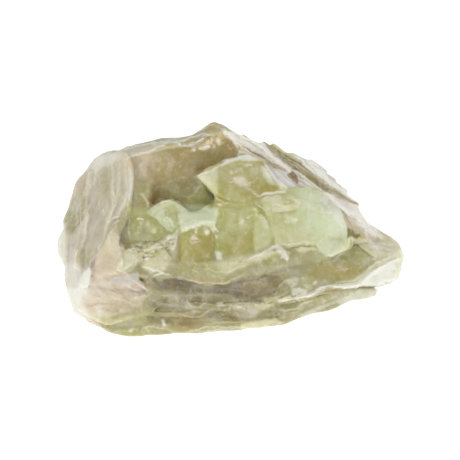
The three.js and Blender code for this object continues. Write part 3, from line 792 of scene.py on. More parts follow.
# The small blocks, the mint lens and the crumbly ledge
LEFT_BLOCKS = Area(
    "131,210 152,208 172,199 200,186 224,206 216,210 214,246 206,262 176,260 150,274 134,262 124,250 119,226",
    Chip(T.KHAKI, 0.9, 1.6, "120,212 131,204 131,240 124,242 118,226"),
    Chip(T.ASH, 0.35, 2.5, "120,216 128,208 129,236 124,238 118,226"),
    Chip(T.MOSS, 0.9, 1.4, "130,210 152,208 166,222 178,232 166,241 150,247 131,246"),
    Chip(T.PISTACHIO, 0.5, 2.5, "128,207 142,207 152,212 144,217 130,216"),
    Chip(T.KHAKI, 0.4, 4, "136,228 150,226 152,244 136,246"),
    Chip(T.BARK, 0.7, 1.6, "120,233 125,238 132,241 133,247 125,251 121,243"),
    Chip(T.MOSS, 0.9, 3, "184,202 200,188 206,186 212,198 224,205 206,209 188,210", 0.4),
    # Painted light: a pale patch that offsets the shade of the pocket by the tooth
    Chip(T.PISTACHIO, 0.4, 2.5, "200,184 206,184 211,196 204,200 196,200"),
    Chip(T.KHAKI, 0.5, 2.5, "203,195 211,197 216,204 206,206", 0.3),
    Chip(T.PISTACHIO, 0.85, 1.3, "149,213 157,205 171,199 180,202 188,212 183,220 176,227 172,232 160,223",
        0.15),
    Chip(T.MINT, 0.55, 2, "151,212 160,205 166,206 166,216 172,226 170,230 160,222"),
    Chip(T.MOSS, 0.7, 2.2, "164,208 173,204 180,208 179,214 166,214", -0.1),
    Chip(T.MINT, 0.5, 2, "178,206 184,206 188,212 184,222 176,227 178,216"),
    Chip(T.MINT, 0.95, 2.5, "182,210 190,205 206,206 218,208 216,224 204,223 190,221 180,226", 0.3),
    Chip(T.HONEY, 0.9, 2, "178,236 188,231 198,227 210,229 214,240 212,254 208,268 190,274 176,266 176,246"),
    Chip(T.KHAKI, 0.6, 3, "164,240 177,238 178,262 168,264 160,256"),
    Chip(T.MOSS, 0.4, 3, "182,234 196,229 210,230 210,240 196,240 182,242"),
    Chip(T.MINT, 0.85, 1.2, "168,238 174,232 180,227 190,220 200,219 214,221 216,229 212,231 208,227 200,225 "
        "195,227 190,229 187,232 181,232 174,239", 0.3),
    Chip(T.FROST, 0.45, 2, "182,228 190,222 204,221 214,222 208,225 194,226 186,230"),
    Chip(T.CREAM, 0.85, 2.5, "132,244 150,245 164,240 176,238 176,260 150,274 138,264", 0.25),
    Chip(T.OLIVE, 0.7, 1.4, "136,246 142,247 144,251 138,252", -0.15),
    Chip(T.MOSS, 0.6, 1.6, "148,252 156,251 163,249 160,255 150,258"),
    Chip(T.OLIVE, 0.5, 2, "139,261 145,262 142,268 138,266"),
    Chip(T.CREAM, 0.75, 1.4, "142,265 150,259 160,256 170,253 176,258 174,268 164,271 154,269", 0.15),
    Chip(T.BARK, 0.6, 1.8, "208,250 214,254 216,262 210,259", -0.15),
    Chip(T.FROST, 0.7, 1.6, "215,252 221,253 222,259 217,260", 0.12),
    Crumbs("132,218 150,214 160,226 150,244 133,244", 30, 2.4, (T.MOSS, T.KHAKI, T.PISTACHIO), 0.3, 0.05,
        angle_deg=95, stretch=2),
    Crumbs("180,236 210,232 210,258 180,262", 30, 2.4, (T.HONEY, T.MOSS, T.OCHRE, T.PISTACHIO), 0.3, 0.05,
        angle_deg=95, stretch=1.6),
    Crumbs("132,244 164,238 176,236 172,250 150,258 138,262", 130, 1.1, (T.FROST, T.FROST, T.CREAM, T.OLIVE,
        T.UMBER), 1, 0.2, angle_deg=-15, stretch=1.5, glints=0.2),
    Crumbs("142,264 172,254 176,262 160,272", 26, 1.4, (T.FROST, T.CREAM, T.KHAKI)),
    Crumbs("170,236 190,222 214,221 214,228 190,228 176,238", 34, 1.5, (T.FROST, T.MINT, T.PISTACHIO), 0.6,
        0.15, glints=0.1),
    Crumbs("150,212 172,201 186,210 174,228", 24, 1.8, (T.MINT, T.PISTACHIO, T.MOSS, T.FROST), 0.35, 0.06,
        angle_deg=50, stretch=2),
    Crumbs("186,190 210,190 216,208 190,212", 24, 1.6, (T.MOSS, T.PISTACHIO, T.OLIVE), 0.4, 0.08),
    Crumbs("190,226 212,224 210,236 194,242", 14, 1, (T.CREAM, T.HONEY), 0.6, glints=0.4),
    Vein(T.CREAM, 0.75, 1.6, "130,213 129,226 130,241", 0.15),
    Vein(T.FROST, 0.75, 1.2, "149,213 153,208 158,204 165,201 172,199.5 179,202 184,207 188,212", 0.12),
    Vein(T.MINT, 0.7, 1.6, "149,213 158,220 167,229 172,232", 0.1),
    Vein(T.FROST, 0.85, 1.3, "166,216 170,219 172,223 174,227", 0.15),
    Vein(T.CREAM, 0.55, 3.2, "179,232 178,244 177,262", taper=0.1),
    Vein(T.HONEY, 0.6, 3, "212,228 213,244 212,262", taper=0.1),
    # Painted light: a pale raised vein that fills a crease beside the small block and offsets its shade
    Vein(T.PISTACHIO, 0.7, 3, "178,222 177,228 174,236", 0.2, taper=0.1),
    Vein(T.FROST, 0.8, 1.1, "177,234 176,241 174,250", 0.1),
    Vein(T.FROST, 0.9, 1.8, "142,266 147,268 153,270 158,270 165,273", 0.2),
    Vein(T.FROST, 0.5, 1.2, "214,222 215,229 213,234", 0.05),
    Vein(T.KHAKI, 0.4, 3, "132,243 146,244 164,243", 0.4),
    Vein(T.UMBER, 0.7, 1.1, "135,246.5 142,247", -0.1, taper=0),
    Vein(T.FROST, 0.7, 1.3, "133,248 140,250 148,250 156,248 163,246", 0.15),
    Vein(T.FROST, 0.7, 1.1, "147,244 152,248 158,244 160,248", 0.15),
    Vein(T.FROST, 0.75, 1.3, "163,246 165,241 170,238 174,236", 0.15),
    Vein(T.CREAM, 0.6, 1.1, "150,258 158,255 166,254", 0.1),
    Vein(T.OLIVE, 0.6, 1, "150,257.5 157,255", -0.1),
    Vein(T.FROST, 0.5, 1.2, "216,204 221,206", taper=0),
    Vein(T.FROST, 0.7, 1.6, "206,209 213,211", 0.1, taper=0),
    Vein(T.CREAM, 0.8, 1.2, "136,219.5 144,219", 0.1, taper=0),
    Vein(T.FROST, 0.6, 1.3, "190,229 196,226 200,225", 0.1),
    Glint("189,239 191,236 194,233 197,236 199,239"),
    Glint("194,227 197,226 197,230 196,234 195,233"),
    Glint("188,240 193,241 198,241 202,239 200,242 194,243 190,242"),
    Glint("204,229 207,228 209,230 209,235 206,236 204,233"),
    Glint("211,225 214,224 214,230 212,234"),
    Glint("151,230 153,229 156,231 156,233 153,233"),
    Glint("146,221 148,222 148,224 146,224"),
    Glint("166,237 169,234 172,235 171,238 168,240"),
    Glint("171,248 174,247 174,250 171,250"),
    Glint("136,219 140,218 144,219 143,220 137,220"),
    grain=Grain(angle_deg=60, spacing=2.2, height=0.04, stretch=3, tone=0.4),
)

# The cream rim and the dark groove below it
RIM_AND_GROOVE = Area(
    "150,274 166,268 186,262 222,258 262,251 277,245 312,250 318,262 336,262 312,282 300,298 262,298 204,294 "
        "172,293 156,286",
    Chip(T.KHAKI, 0.95, 2, "172,260 210,262 250,256 277,246 318,250 332,262 322,282 300,298 262,298 204,290 "
        "178,280 164,272"),
    Chip(T.HONEY, 0.45, 4, "178,262 206,262 212,270 200,276 182,272"),
    Chip(T.PISTACHIO, 0.5, 4, "204,266 222,260 246,256 244,266 230,276 214,282 204,278"),
    Chip(T.CREAM, 0.65, 2.4, "218,262 240,258 262,251 277,245 282,250 272,258 252,264 232,272 220,272", 0.08),
    Chip(T.FROST, 0.4, 2, "256,254 272,248 276,252 262,259 250,262"),
    Chip(T.TAN, 0.5, 2.5, "196,272 216,280 232,280 222,285 206,284 190,279"),
    Chip(T.MOSS, 0.7, 2, "262,258 276,254 280,262 268,268 260,266", -0.1),
    Chip(T.OLIVE, 0.4, 2, "263,260 272,258 272,265 264,267"),
    Chip(T.FROST, 0.6, 1.4, "272,247 279,245 284,250 290,252 288,262 283,258 277,252", 0.15),
    Chip(T.CREAM, 0.8, 1.6, "296,250 303,247 310,249 304,253", 0.08),
    Chip(T.OLIVE, 0.4, 2, "287,250 296,251 300,256 292,258 287,256"),
    Chip(T.SMOKE, 0.9, 1.8, "152,276 160,281 170,277 184,278 196,283 204,286 222,286 236,280 252,276 270,274 "
        "280,276 284,284 274,294 256,298 240,298 224,294 205,293 190,294 174,294 162,289 153,282", -0.3),
    Chip(T.UMBER, 0.3, 3, "160,282 176,280 190,285 192,292 176,292"),
    Chip(T.UMBER, 0.4, 3, "166,283 180,282 190,287 186,292 170,291"),
    Chip(T.UMBER, 0.4, 2.5, "212,284 224,286 238,288 232,293 216,291"),
    Chip(T.KHAKI, 0.3, 3, "256,282 268,278 276,280 268,288 258,288"),
    Chip(T.KHAKI, 0.5, 1.6, "201,286 206,286 206,293 202,294"),
    Chip(T.UMBER, 0.35, 2.4, "209,284 222,286 240,286 244,294 226,293 212,290"),
    Chip(T.BARK, 0.7, 3.5, "242,278 262,277 284,277 282,286 270,294 250,296 240,290"),
    Chip(T.ASH, 0.3, 4, "250,262 276,266 298,262 312,268 300,276 270,274 246,272"),
    Crumbs("176,262 214,264 250,258 276,248 280,256 250,268 222,284 184,276", 85, 1.6, (T.CREAM, T.HONEY,
        T.KHAKI, T.PISTACHIO, T.MOSS), 0.42, 0.08, angle_deg=-20, stretch=1.7),
    Crumbs("248,266 312,258 318,272 290,292 262,280", 46, 2.4, (T.KHAKI, T.BARK, T.ASH, T.MOSS), 0.3, 0.06,
        angle_deg=-12, stretch=2.2),
    Crumbs("158,283 194,284 240,290 274,278 262,294 176,292", 46, 2.2, (T.SMOKE, T.UMBER, T.ASH, T.BARK), 0.3,
        0.06, angle_deg=6, stretch=2.4),
    Crumbs("272,246 286,248 290,262 280,258", 18, 1, (T.FROST, T.CREAM, T.OLIVE), 0.8, 0.15, glints=0.25),
    Crumbs("200,266 234,262 230,276 206,276", 12, 0.8, (T.FROST,), 0.7),
    Vein(T.FROST, 0.8, 1.4, "152,277 156,274 163,272.5 170,275", 0.2),
    Vein(T.CREAM, 0.45, 1.3, "170,277 184,278.5 197,282 208,284.5 222,284 236,278 248,272", 0.12),
    Vein(T.CREAM, 0.55, 1.3, "204,262 208,268 214,272 226,272 238,267", 0.12),
    Vein(T.FROST, 0.45, 1.3, "226,274 236,269 248,263", 0.1),
    Vein(T.FROST, 0.6, 1.6, "244,262 256,256 268,250 277,246", 0.12),
    Vein(T.KHAKI, 0.5, 4, "134,275 142,279 152,283", 0.4, taper=0.1),
    Vein(T.UMBER, 0.55, 1.2, "151,275 153,281 160,287", -0.1),
    Vein(T.CREAM, 0.7, 1.4, "276,290 281,285 287,280", 0.15),
    Vein(T.CREAM, 0.45, 1.3, "190,258 196,264 194,270 200,276", 0.1),
    Vein(T.KHAKI, 0.6, 1.2, "190,282 203,288 204,294", 0.08),
    Vein(T.ASH, 0.4, 1.2, "212,291 228,289 244,291", 0.06),
    Glint("284,257 286,256 288,261 285,261"),
    grain=Grain(angle_deg=8, spacing=2.2, height=0.06, stretch=5, tone=0.45),
)

# The wing on the right, with its pale tip
WING = Area(
    "350,222 366,234 380,244 398,239 405,256 398,276 376,286 345,289 312,298 300,290 312,270 336,258 350,248",
    Chip(T.KHAKI, 0.95, 1.6, "300,262 318,260 336,257 350,247 352,240 372,254 378,260 368,272 356,284 "
        "330,286 306,296 298,288"),
    Chip(T.HONEY, 0.7, 4, "310,270 326,263 346,262 362,266 364,274 352,283 330,282 314,277"),
    Chip(T.OCHRE, 0.35, 4, "312,268 330,263 350,266 360,272 350,280 330,278"),
    Chip(T.BARK, 0.25, 4, "316,266 332,263 336,270 322,276"),
    Chip(T.MOSS, 0.4, 2.5, "340,254 352,242 368,252 374,260 362,262 346,260"),
    Chip(T.CREAM, 0.7, 1.4, "350,224 366,234 380,242 398,239 403,251 386,255 374,256 358,246 350,238", 0.08),
    Chip(T.BEIGE, 0.3, 2, "362,240 382,241 400,242 402,251 386,255 372,252"),
    # Painted highlight: a pale patch on the wing's top
    Chip(T.FROST, 0.45, 2.5, "368,243 384,245 388,251 376,252"),
    Chip(T.TAN, 0.35, 2.5, "350,222 366,232 378,240 364,240 354,234"),
    Chip(T.OLIVE, 0.85, 1.2, "347,228 355,230 361,236 356,237 350,235", -0.3),
    Chip(T.FROST, 0.95, 1.2, "371,271 384,263 399,256 403,264 398,276 392,283 378,284 362,284", -0.15),
    Chip(T.PISTACHIO, 0.35, 1.8, "396,264 402,260 400,272 396,277"),
    Chip(T.CREAM, 0.7, 1.2, "366,270 376,262 388,257 400,252 402,256 386,262 372,271", 0.12),
    Chip(T.TAN, 0.5, 1.2, "378,258 390,255 399,253 392,257 382,261"),
    Chip(T.PISTACHIO, 0.4, 2, "298,278 310,275 318,280 312,288 300,290"),
    Chip(T.ASH, 0.5, 2, "316,279 334,279 332,283 322,286 314,286"),
    Chip(T.FROST, 0.5, 2, "362,272 370,270 374,280 362,286 350,287 340,285 352,282"),
    Crumbs("306,266 350,252 366,262 350,282 310,288", 60, 2.4, (T.KHAKI, T.HONEY, T.OCHRE, T.MOSS), 0.3, 0.05,
        angle_deg=-22, stretch=2.2),
    Crumbs("330,262 362,256 364,270 334,276", 16, 0.7, (T.FROST, T.CREAM), 0.7, angle_deg=-15, stretch=2,
        glints=0.3),
    Crumbs("356,240 398,242 400,252 374,254", 30, 1.6, (T.FROST, T.BEIGE, T.TAN, T.BLUSH), 0.4, 0.06,
        angle_deg=8, stretch=3.5),
    Crumbs("366,274 398,260 398,274 378,283", 24, 2, (T.FROST, T.MINT, T.ASH), 0.3, 0.05, angle_deg=-30,
        stretch=2.4),
    Crumbs("300,276 314,276 318,288 302,294", 16, 1.2, (T.CREAM, T.KHAKI, T.FROST), 0.6, 0.12, glints=0.2),
    Crumbs("352,226 366,236 360,242 350,238", 14, 1.2, (T.CREAM, T.TAN, T.KHAKI), 0.6),
    Vein(T.FROST, 0.95, 2.2, "300,298.5 308,296 315,293 321,288.5 328,285.5 335,286 342,287.5 352,287.5 "
        "362,285 378,284 391,283", 0.2, taper=0.1),
    Vein(T.FROST, 0.45, 1.4, "330,284 342,282 354,281 364,275 371,268", 0.1),
    Vein(T.UMBER, 0.6, 1.6, "316,297 326,291 338,290 352,290.5", -0.2),
    Vein(T.OLIVE, 0.6, 1.4, "352,241 361,249 370,255 378,259", -0.15),
    Vein(T.OLIVE, 0.55, 1.2, "372,271 384,264 397,257", -0.12),
    Vein(T.FROST, 0.7, 1.3, "366,271 376,263.5 388,258 400,252.5", 0.15),
    # Painted light: a pale raised vein that fills the crease at the wing's left edge and offsets its shade
    Vein(T.PISTACHIO, 0.5, 3.2, "348,244 342,254 332,262", 0.4, taper=0.1),
    Vein(T.FROST, 0.8, 1.4, "398,250 404,256 402,259"),
    Vein(T.UMBER, 0.5, 1, "384,283.5 392,282"),
    Vein(T.FROST, 0.5, 1.4, "358,238 370,243 384,244 398,246", 0.08),
    Vein(T.TAN, 0.5, 1.2, "366,248 378,250 392,252", -0.06),
    Glint("342,269 346,267.5 349,268 345,270", soft=0.5),
    Glint("373,258 376,256 378,257 376,260 374,260"),
    Glint("303,286 306,284 310,285 310,288 305,289"),
    Glint("371,247 376,246 379,248 377,250"),
    Glint("314,281 316,280 318,282 316,284"),
    Glint("356,253 358,252 359,254"),
    grain=Grain(angle_deg=22, spacing=2.6, height=0.05, stretch=6, tone=0.5),
)

# The layered foot
FOOT = Area(
    "102,320 140,312 152,288 204,294 262,298 312,298 346,290 380,286 372,298 336,305 300,318 270,325 240,329 "
        "206,327 180,334 134,337 104,327",
    Chip(T.KHAKI, 0.95, 2, "100,318 140,310 152,288 204,294 262,298 312,298 346,290 346,304 300,318 270,325 "
        "240,330 206,328 180,335 134,338 102,328"),
    Chip(T.ASH, 0.5, 4, "150,292 180,295 200,294 210,302 196,312 168,310 148,304"),
    Chip(T.SMOKE, 0.4, 3, "205,296 236,297 256,300 248,304 226,303 208,302"),
    Chip(T.CREAM, 0.5, 4, "88,314 116,317 134,315 148,313 150,324 138,326 120,326 100,322"),
    Chip(T.TAN, 0.4, 4, "104,308 128,305 146,306 140,316 116,318"),
    Chip(T.MOSS, 0.6, 2, "106,328 120,331 134,334 150,331 140,338 122,337"),
    Chip(T.HONEY, 0.5, 3, "136,317 150,314 158,324 146,328"),
    Chip(T.OCHRE, 0.7, 3, "176,315 200,313 210,318 202,326 182,333 172,325", -0.1),
    Chip(T.BARK, 0.35, 3, "180,316 198,314 206,320 196,327 182,330"),
    Chip(T.SMOKE, 0.45, 3, "208,309 228,311 234,318 226,323 208,320"),
    Chip(T.UMBER, 0.7, 1.6, "192,297 201,296 202,305 195,306 190,303", -0.2),
    Chip(T.SMOKE, 0.5, 2, "176,297 188,297 190,304 180,306"),
    Chip(T.ASH, 0.5, 2, "204,306 216,308 214,316 204,315"),
    Chip(T.OLIVE, 0.4, 3, "150,316 164,314 172,322 158,328 148,326"),
    Chip(T.UMBER, 0.4, 3, "178,318 192,316 200,320 190,326 180,326"),
    Chip(T.OLIVE, 0.4, 3, "226,310 238,312 246,320 232,324 222,320"),
    Chip(T.SMOKE, 0.5, 1.6, "246,300 262,300 272,302 262,304 248,304"),
    Chip(T.SMOKE, 0.6, 2, "161,298 172,297 176,302 164,304", -0.15),
    Chip(T.SMOKE, 0.4, 1.6, "149,303 156,303 157,308 150,307", -0.1),
    Chip(T.OLIVE, 0.9, 1.4, "256,316 262,310 276,310 284,313 278,319 260,320", -0.25),
    Chip(T.BARK, 0.28, 5, "150,294 204,298 262,304 300,302 290,318 250,322 204,322 156,328"),
    Chip(T.OLIVE, 0.35, 3, "284,306 320,298 338,297 318,311 296,319"),
    Chip(T.CREAM, 0.85, 1.4, "240,324 258,320 274,318 284,322 266,326 242,330", 0.15),
    Chip(T.KHAKI, 0.5, 2, "276,305 300,302 322,299 308,312 288,321 280,318"),
    Chip(T.BARK, 0.35, 3, "284,310 300,308 308,312 294,319 284,318"),
    Chip(T.OLIVE, 0.6, 1.4, "276,302 298,299 312,298 300,303 282,306", -0.15),
    Chip(T.KHAKI, 0.6, 1.5, "312,300 330,292 350,291 340,300 320,303"),
    Chip(T.BARK, 0.6, 1.4, "322,291 336,288 352,289 340,293 324,295"),
    Chip(T.KHAKI, 0.6, 2.5, "316,300 336,293 352,290 348,298 330,304 318,306"),
    Chip(T.FROST, 0.6, 2.4, "336,302 350,292 379,286 374,298 356,302 340,304"),
    Chip(T.BEIGE, 0.75, 2.4, "232,305 248,305 262,312 250,319 236,317", 0.08),
    Chip(T.CREAM, 0.75, 1.6, "254,303 272,303 276,308 256,310", 0.12),
    Chip(T.CREAM, 0.7, 1.2, "262,299 276,297 284,297 290,295 292,298 282,302 264,303", 0.15),
    Chip(T.FROST, 0.6, 1.3, "292,290 300,287 307,290 305,298 297,300 293,296", 0.2),
    Chip(T.FROST, 0.5, 1.4, "286,280 292,277 299,278 298,285 292,289 287,285", 0.15),
    Chip(T.FROST, 0.5, 2, "298,316 320,306 334,303 320,310 306,317"),
    Crumbs("146,296 206,296 250,302 250,324 204,324 170,330 148,322", 120, 2.4, (T.KHAKI, T.ASH, T.OCHRE,
        T.SMOKE, T.PISTACHIO), 0.34, 0.08, angle_deg=6, stretch=1.8),
    Crumbs("96,318 146,314 148,332 124,335", 36, 2.4, (T.PISTACHIO, T.MOSS, T.CREAM), 0.35, 0.06,
        angle_deg=10, stretch=1.8),
    Crumbs("212,298 262,302 290,296 306,288 306,300 276,306 240,312 214,308", 60, 1.2, (T.CREAM, T.FROST,
        T.BEIGE, T.OLIVE, T.SMOKE), 0.6, 0.12, angle_deg=-8, stretch=2.4, glints=0.12),
    Crumbs("256,304 300,300 330,296 300,316 262,320", 46, 1.8, (T.KHAKI, T.OLIVE, T.BARK, T.CREAM), 0.4, 0.08,
        angle_deg=-16, stretch=2.2),
    Crumbs("326,298 372,288 370,298 334,304", 24, 2.2, (T.FROST, T.PISTACHIO, T.ASH), 0.3, 0.05,
        angle_deg=-16, stretch=2.6),
    Crumbs("286,278 312,276 314,292 288,298", 26, 1.2, (T.FROST, T.KHAKI, T.CREAM), 0.6, 0.15, glints=0.2),
    Vein(T.CREAM, 0.7, 1.5, "140,329 150,327 158,328 168,329 176,334", 0.15),
    Vein(T.CREAM, 0.5, 1.8, "126,331 131,329 138,330", 0.1),
    Vein(T.ASH, 0.6, 1.5, "150,298 158,303 170,305 180,306 190,309 204,315", 0.12),
    Vein(T.CREAM, 0.45, 1.2, "160,296 172,295 178,300 174,305", 0.12),
    Vein(T.CREAM, 0.5, 1.2, "186,294 187,301 190,306 200,308 206,302 204,295", 0.12),
    Vein(T.CREAM, 0.5, 1.2, "136,297 148,296 153,290", 0.12),
    Vein(T.CREAM, 0.6, 1.4, "178,314 190,317 200,317 208,312 214,307", 0.15),
    Vein(T.ASH, 0.5, 1.3, "214,307 228,304 244,303 258,304", 0.12),
    Vein(T.UMBER, 0.5, 1.1, "252,303 266,303.5 280,301", -0.12),
    Vein(T.FROST, 0.9, 1.4, "276,301 284,298 292,296", 0.15),
    Vein(T.CREAM, 0.6, 1.3, "262,301 270,299.5 278,296 288,292", 0.12),
    Vein(T.CREAM, 0.75, 1.6, "279,309 288,310.5 296,308 304,303 316,300", 0.15),
    Vein(T.CREAM, 0.4, 1.4, "204,325 222,322 240,322", 0.1),
    Vein(T.FROST, 0.45, 1.4, "182,334 206,327 226,327 242,328"),
    Vein(T.ASH, 0.5, 1.2, "256,313 264,309 276,309", 0.1),
    Glint("162,319 165,319 166,327 162,327"),
    Glint("216,303 219,302 223,302 223,305 219,306 217,305"),
    Glint("218,308 221,307 221,309"),
    Glint("236,306 239,305 242,306 241,308 237,308"),
    Glint("129,329 133,329 133,332 129,332"),
    Glint("277,302 283,299 290,297 291,299 284,302"),
    Glint("304,286 308,284 310,286 308,289 304,288"),
    grain=Grain(angle_deg=3, spacing=2.4, height=0.08, stretch=4, tone=0.45),
)

# The split sheets along the upper right slope
SPLIT_SHEETS = Area(
    "224,129 262,142 300,154 322,162 344,190 362,206 384,240 366,236 350,222 334,203 322,190 304,186 280,188 "
        "264,162 240,152",
    Chip(T.SNOW, 0.8, 1.4, "224,129 262,142 300,154 322,162 344,190 362,206 384,240 366,236 350,222 334,203 "
        "322,190 304,186 280,188 264,162 240,152"),
    Chip(T.TAN, 0.9, 1.1, "237,144 248,149 264,157 280,166 290,172 282,172 268,166 252,156 238,149", -0.25),
    Chip(T.BARK, 0.9, 1.1, "263,142 273,144 286,153 300,161 312,172 326,183 344,194 362,207 348,203 330,194 "
        "314,186 300,177 288,167 274,156", -0.15),
    Chip(T.OLIVE, 0.4, 2, "268,148 284,160 300,170 312,180 304,178 288,168 274,156"),
    Chip(T.PISTACHIO, 0.85, 1, "270,142 278,145 286,151 298,157 292,158 280,152", 0.12),
    Chip(T.SNOW, 0.9, 1.2, "296,152 322,159 334,173 347,190 362,205 332,186 318,178 304,165", 0.1),
    Chip(T.ASH, 0.6, 1.6, "320,165 328,172 340,186 330,180", -0.1),
    Chip(T.LILAC, 0.9, 1.4, "266,166 285,172 294,172 302,181 308,187 286,187 276,182", -0.2),
    Chip(T.ASH, 0.6, 1.6, "296,178 302,181 307,187 296,187"),
    Chip(T.AMBER, 1, 0.8, "287,174 292,171 298,177 298,184 293,182", -0.15),
    Chip(T.TAN, 0.8, 1.8, "340,210 352,218 368,231 380,241 362,240 350,232 345,222"),
    Chip(T.SNOW, 0.7, 2.5, "326,191 350,203 386,238 370,234 346,214"),
    Chip(T.BLUSH, 0.3, 3, "332,194 350,204 360,214 346,208"),
    Chip(T.KHAKI, 0.4, 2, "354,206 362,208 358,212"),
    Crumbs("228,131 262,144 300,172 262,160 238,148", 60, 0.9, (T.SNOW, T.ASH, T.TAN), 0.55, 0.06,
        angle_deg=32.5, stretch=9),
    Crumbs("268,146 300,162 340,192 330,194 296,174", 60, 0.9, (T.BARK, T.UMBER, T.KHAKI), lift=0.06,
        angle_deg=33, stretch=9),
    Crumbs("298,156 320,162 342,188 330,186 308,170", 24, 0.9, (T.SNOW, T.ASH), lift=0.05, angle_deg=40,
        stretch=7),
    Crumbs("330,194 362,212 380,238 350,214", 30, 1.4, (T.FROST, T.LILAC, T.BLUSH), 0.35, 0.05, angle_deg=36,
        stretch=5),
    Crumbs("344,216 372,236 362,240 350,230", 22, 1.2, (T.TAN, T.CREAM, T.KHAKI), lift=0.08, angle_deg=30,
        stretch=2.4),
    Vein(T.LILAC, 0.9, 1, "226,133 244,143 258,152 270,163", 0.15),
    Vein(T.SNOW, 0.9, 1.2, "240,135 258,144 272,156 284,166", 0.12),
    Vein(T.SNOW, 0.8, 1.2, "232,131 250,139 266,150", 0.1),
    Vein(T.UMBER, 0.5, 0.8, "234,139 248,149 262,159", -0.12),
    Vein(T.BARK, 0.7, 1, "266,144 282,156 300,168 318,181", -0.1),
    Vein(T.UMBER, 0.6, 0.8, "270,146 290,161 306,172", -0.1),
    Vein(T.SNOW, 0.8, 1.1, "292,157 306,166 320,177 334,187", 0.1),
    Chip(T.OLIVE, 1, 0.8, "347,229 352,228 354,232 361,236 356,239 351,236 347,239", -0.1),
    Vein(T.BARK, 0.7, 0.8, "348,230 352,232 357,236", -0.1),
    Vein(T.FROST, 0.9, 1.4, "228,132 246,141 262,152 280,164 291,170", 0.2),
    Vein(T.FROST, 0.85, 1.5, "264,145 272,155 284,164 296,172 304,177 318,188 326,193", 0.2),
    Vein(T.TAN, 0.6, 0.9, "236,135 250,143 264,154 276,163", -0.12),
    Vein(T.ASH, 0.6, 1, "246,140 258,148 268,156", -0.1),
    Vein(T.SMOKE, 0.65, 0.9, "264,160 272,171 283,184", -0.15),
    Vein(T.SMOKE, 0.6, 0.8, "267,163 276,172", -0.12),
    Vein(T.SMOKE, 0.5, 0.8, "264,165 270,176 278,184", -0.12),
    Vein(T.UMBER, 0.65, 0.9, "273,149 288,160 300,168 308,175", -0.15),
    Vein(T.UMBER, 0.6, 0.9, "275,155 290,165 302,173", -0.12),
    Vein(T.KHAKI, 0.6, 1.1, "286,153 300,162 312,172 322,180", 0.1),
    Vein(T.OLIVE, 0.7, 2, "316,181 332,190 348,199 361,207", -0.15),
    Vein(T.UMBER, 0.6, 1.1, "316,183 330,191", -0.12),
    Vein(T.FROST, 0.9, 1.6, "297,172 305,178 315,185 323,192", 0.15),
    Vein(T.SMOKE, 0.5, 0.9, "310,187 322,192", -0.12),
    Vein(T.TAN, 0.5, 0.9, "330,194 344,203 354,210"),
    Vein(T.SMOKE, 0.55, 1.1, "339,209 348,216 357,221", -0.12),
    Vein(T.TAN, 0.5, 1, "346,212 358,221 370,231", -0.06),
    Vein(T.ASH, 0.5, 1.1, "298,156 306,162 318,174", -0.1),
    Vein(T.SMOKE, 0.45, 0.9, "311,164 319,168 324,172", -0.1),
    Vein(T.SMOKE, 0.45, 1, "326,170 334,180 341,188", -0.1),
    grain=Grain(angle_deg=-32.5, spacing=1.3, height=0.12, stretch=14, tone=0.9),
)

FRONT = (
    CURTAIN, LOBES, WALL, TOOTH, MIDDLE_BLOCK,
    MINT_BLOCK, LEFT_BLOCKS, RIM_AND_GROOVE, WING, FOOT, SPLIT_SHEETS,
)


@dataclass(frozen=True)
class Cloud:
    """A soft patch of colour through the stone: its middle and half sizes in mm, as the front is drawn."""

    FADE = (1.25, 0.55)

    tint: Tint
    middle: Triple
    half: Triple
    cover: float = 0.8


CLOUDS = (
    Cloud(T.KHAKI, (0, 0, 0), (90, 90, 90), 1.0),
    Cloud(T.BEIGE, (-34, 4, -4), (17, 30, 22), 0.9),
    Cloud(T.OCHRE, (-30, 6, -16), (12, 14, 9), 0.6),
    Cloud(T.PEACH, (-30, -18, 2), (13, 9, 16), 0.85),
    Cloud(T.PISTACHIO, (-12, -22, -2), (14, 7, 14), 0.5),
    Cloud(T.BARK, (-10, 14, -4), (16, 11, 8), 0.7),
    Cloud(T.MOSS, (2, 3, 6), (18, 13, 12), 0.9),
    Cloud(T.MINT, (24, 2, 6), (10, 11, 9), 0.8),
    Cloud(T.MOSS, (-6, 6, -18), (14, 12, 7), 0.9),
    Cloud(T.OLIVE, (4, 14, -12), (12, 8, 6), 0.5),
    Cloud(T.PISTACHIO, (14, 6, -18), (12, 9, 7), 0.7),
    Cloud(T.SMOKE, (6, -10, -14), (16, 7, 8), 0.45),
    Cloud(T.HONEY, (-16, -8, -16), (11, 9, 8), 0.8),
    Cloud(T.HONEY, (24, -4, -18), (9, 8, 7), 0.6),
    Cloud(T.FROST, (22, 18, -6), (16, 9, 10), 0.6),
    Cloud(T.CREAM, (38, -6, -4), (10, 9, 12), 0.7),
    Cloud(T.BARK, (20, -14, -6), (14, 7, 10), 0.4),
    Cloud(T.FROST, (44, -8, -4), (5, 8, 12), 0.6),
    # Painted light: two pale clouds that offset the shade of the pocket left of the tooth and of a small gap
    # at the lower left
    Cloud(T.CREAM, (-6.5, 9, 0), (5, 5, 8), 0.9),
    Cloud(T.CREAM, (-23, -12.5, 2), (5, 4, 8), 0.9),
    Cloud(T.FROST, (-44, -2, -4), (4, 12, 14), 0.6),
)


@dataclass(frozen=True)
class Blocks:
    """Cleavage blocks outside the drawn front: how large and high they are (mm), and their tints."""

    WANDER = 0.28
    RIM = 0.35

    size: Triple
    lift: float
    cover: float
    share: float
    tints: tuple[Tint, ...]


BLOCKS = (
    Blocks((11.0, 14.0, 9.0), 0.25, 0.55, 0.85, (T.MOSS, T.BEIGE, T.PISTACHIO, T.HONEY, T.OLIVE, T.OCHRE)),
    Blocks((5.0, 4.0, 6.0), 0.12, 0.4, 0.4, (T.CREAM, T.OLIVE, T.MINT, T.OCHRE, T.HONEY)),
    Blocks((2.2, 2.9, 1.8), 0.05, 0.35, 0.25, (T.CREAM, T.BARK, T.MOSS)),
)


@dataclass(frozen=True)
class Easing:
    """Outlines in squares, inside which the skin is smoothed, and how many times."""

    rounds: int
    outlines: tuple[str, ...]


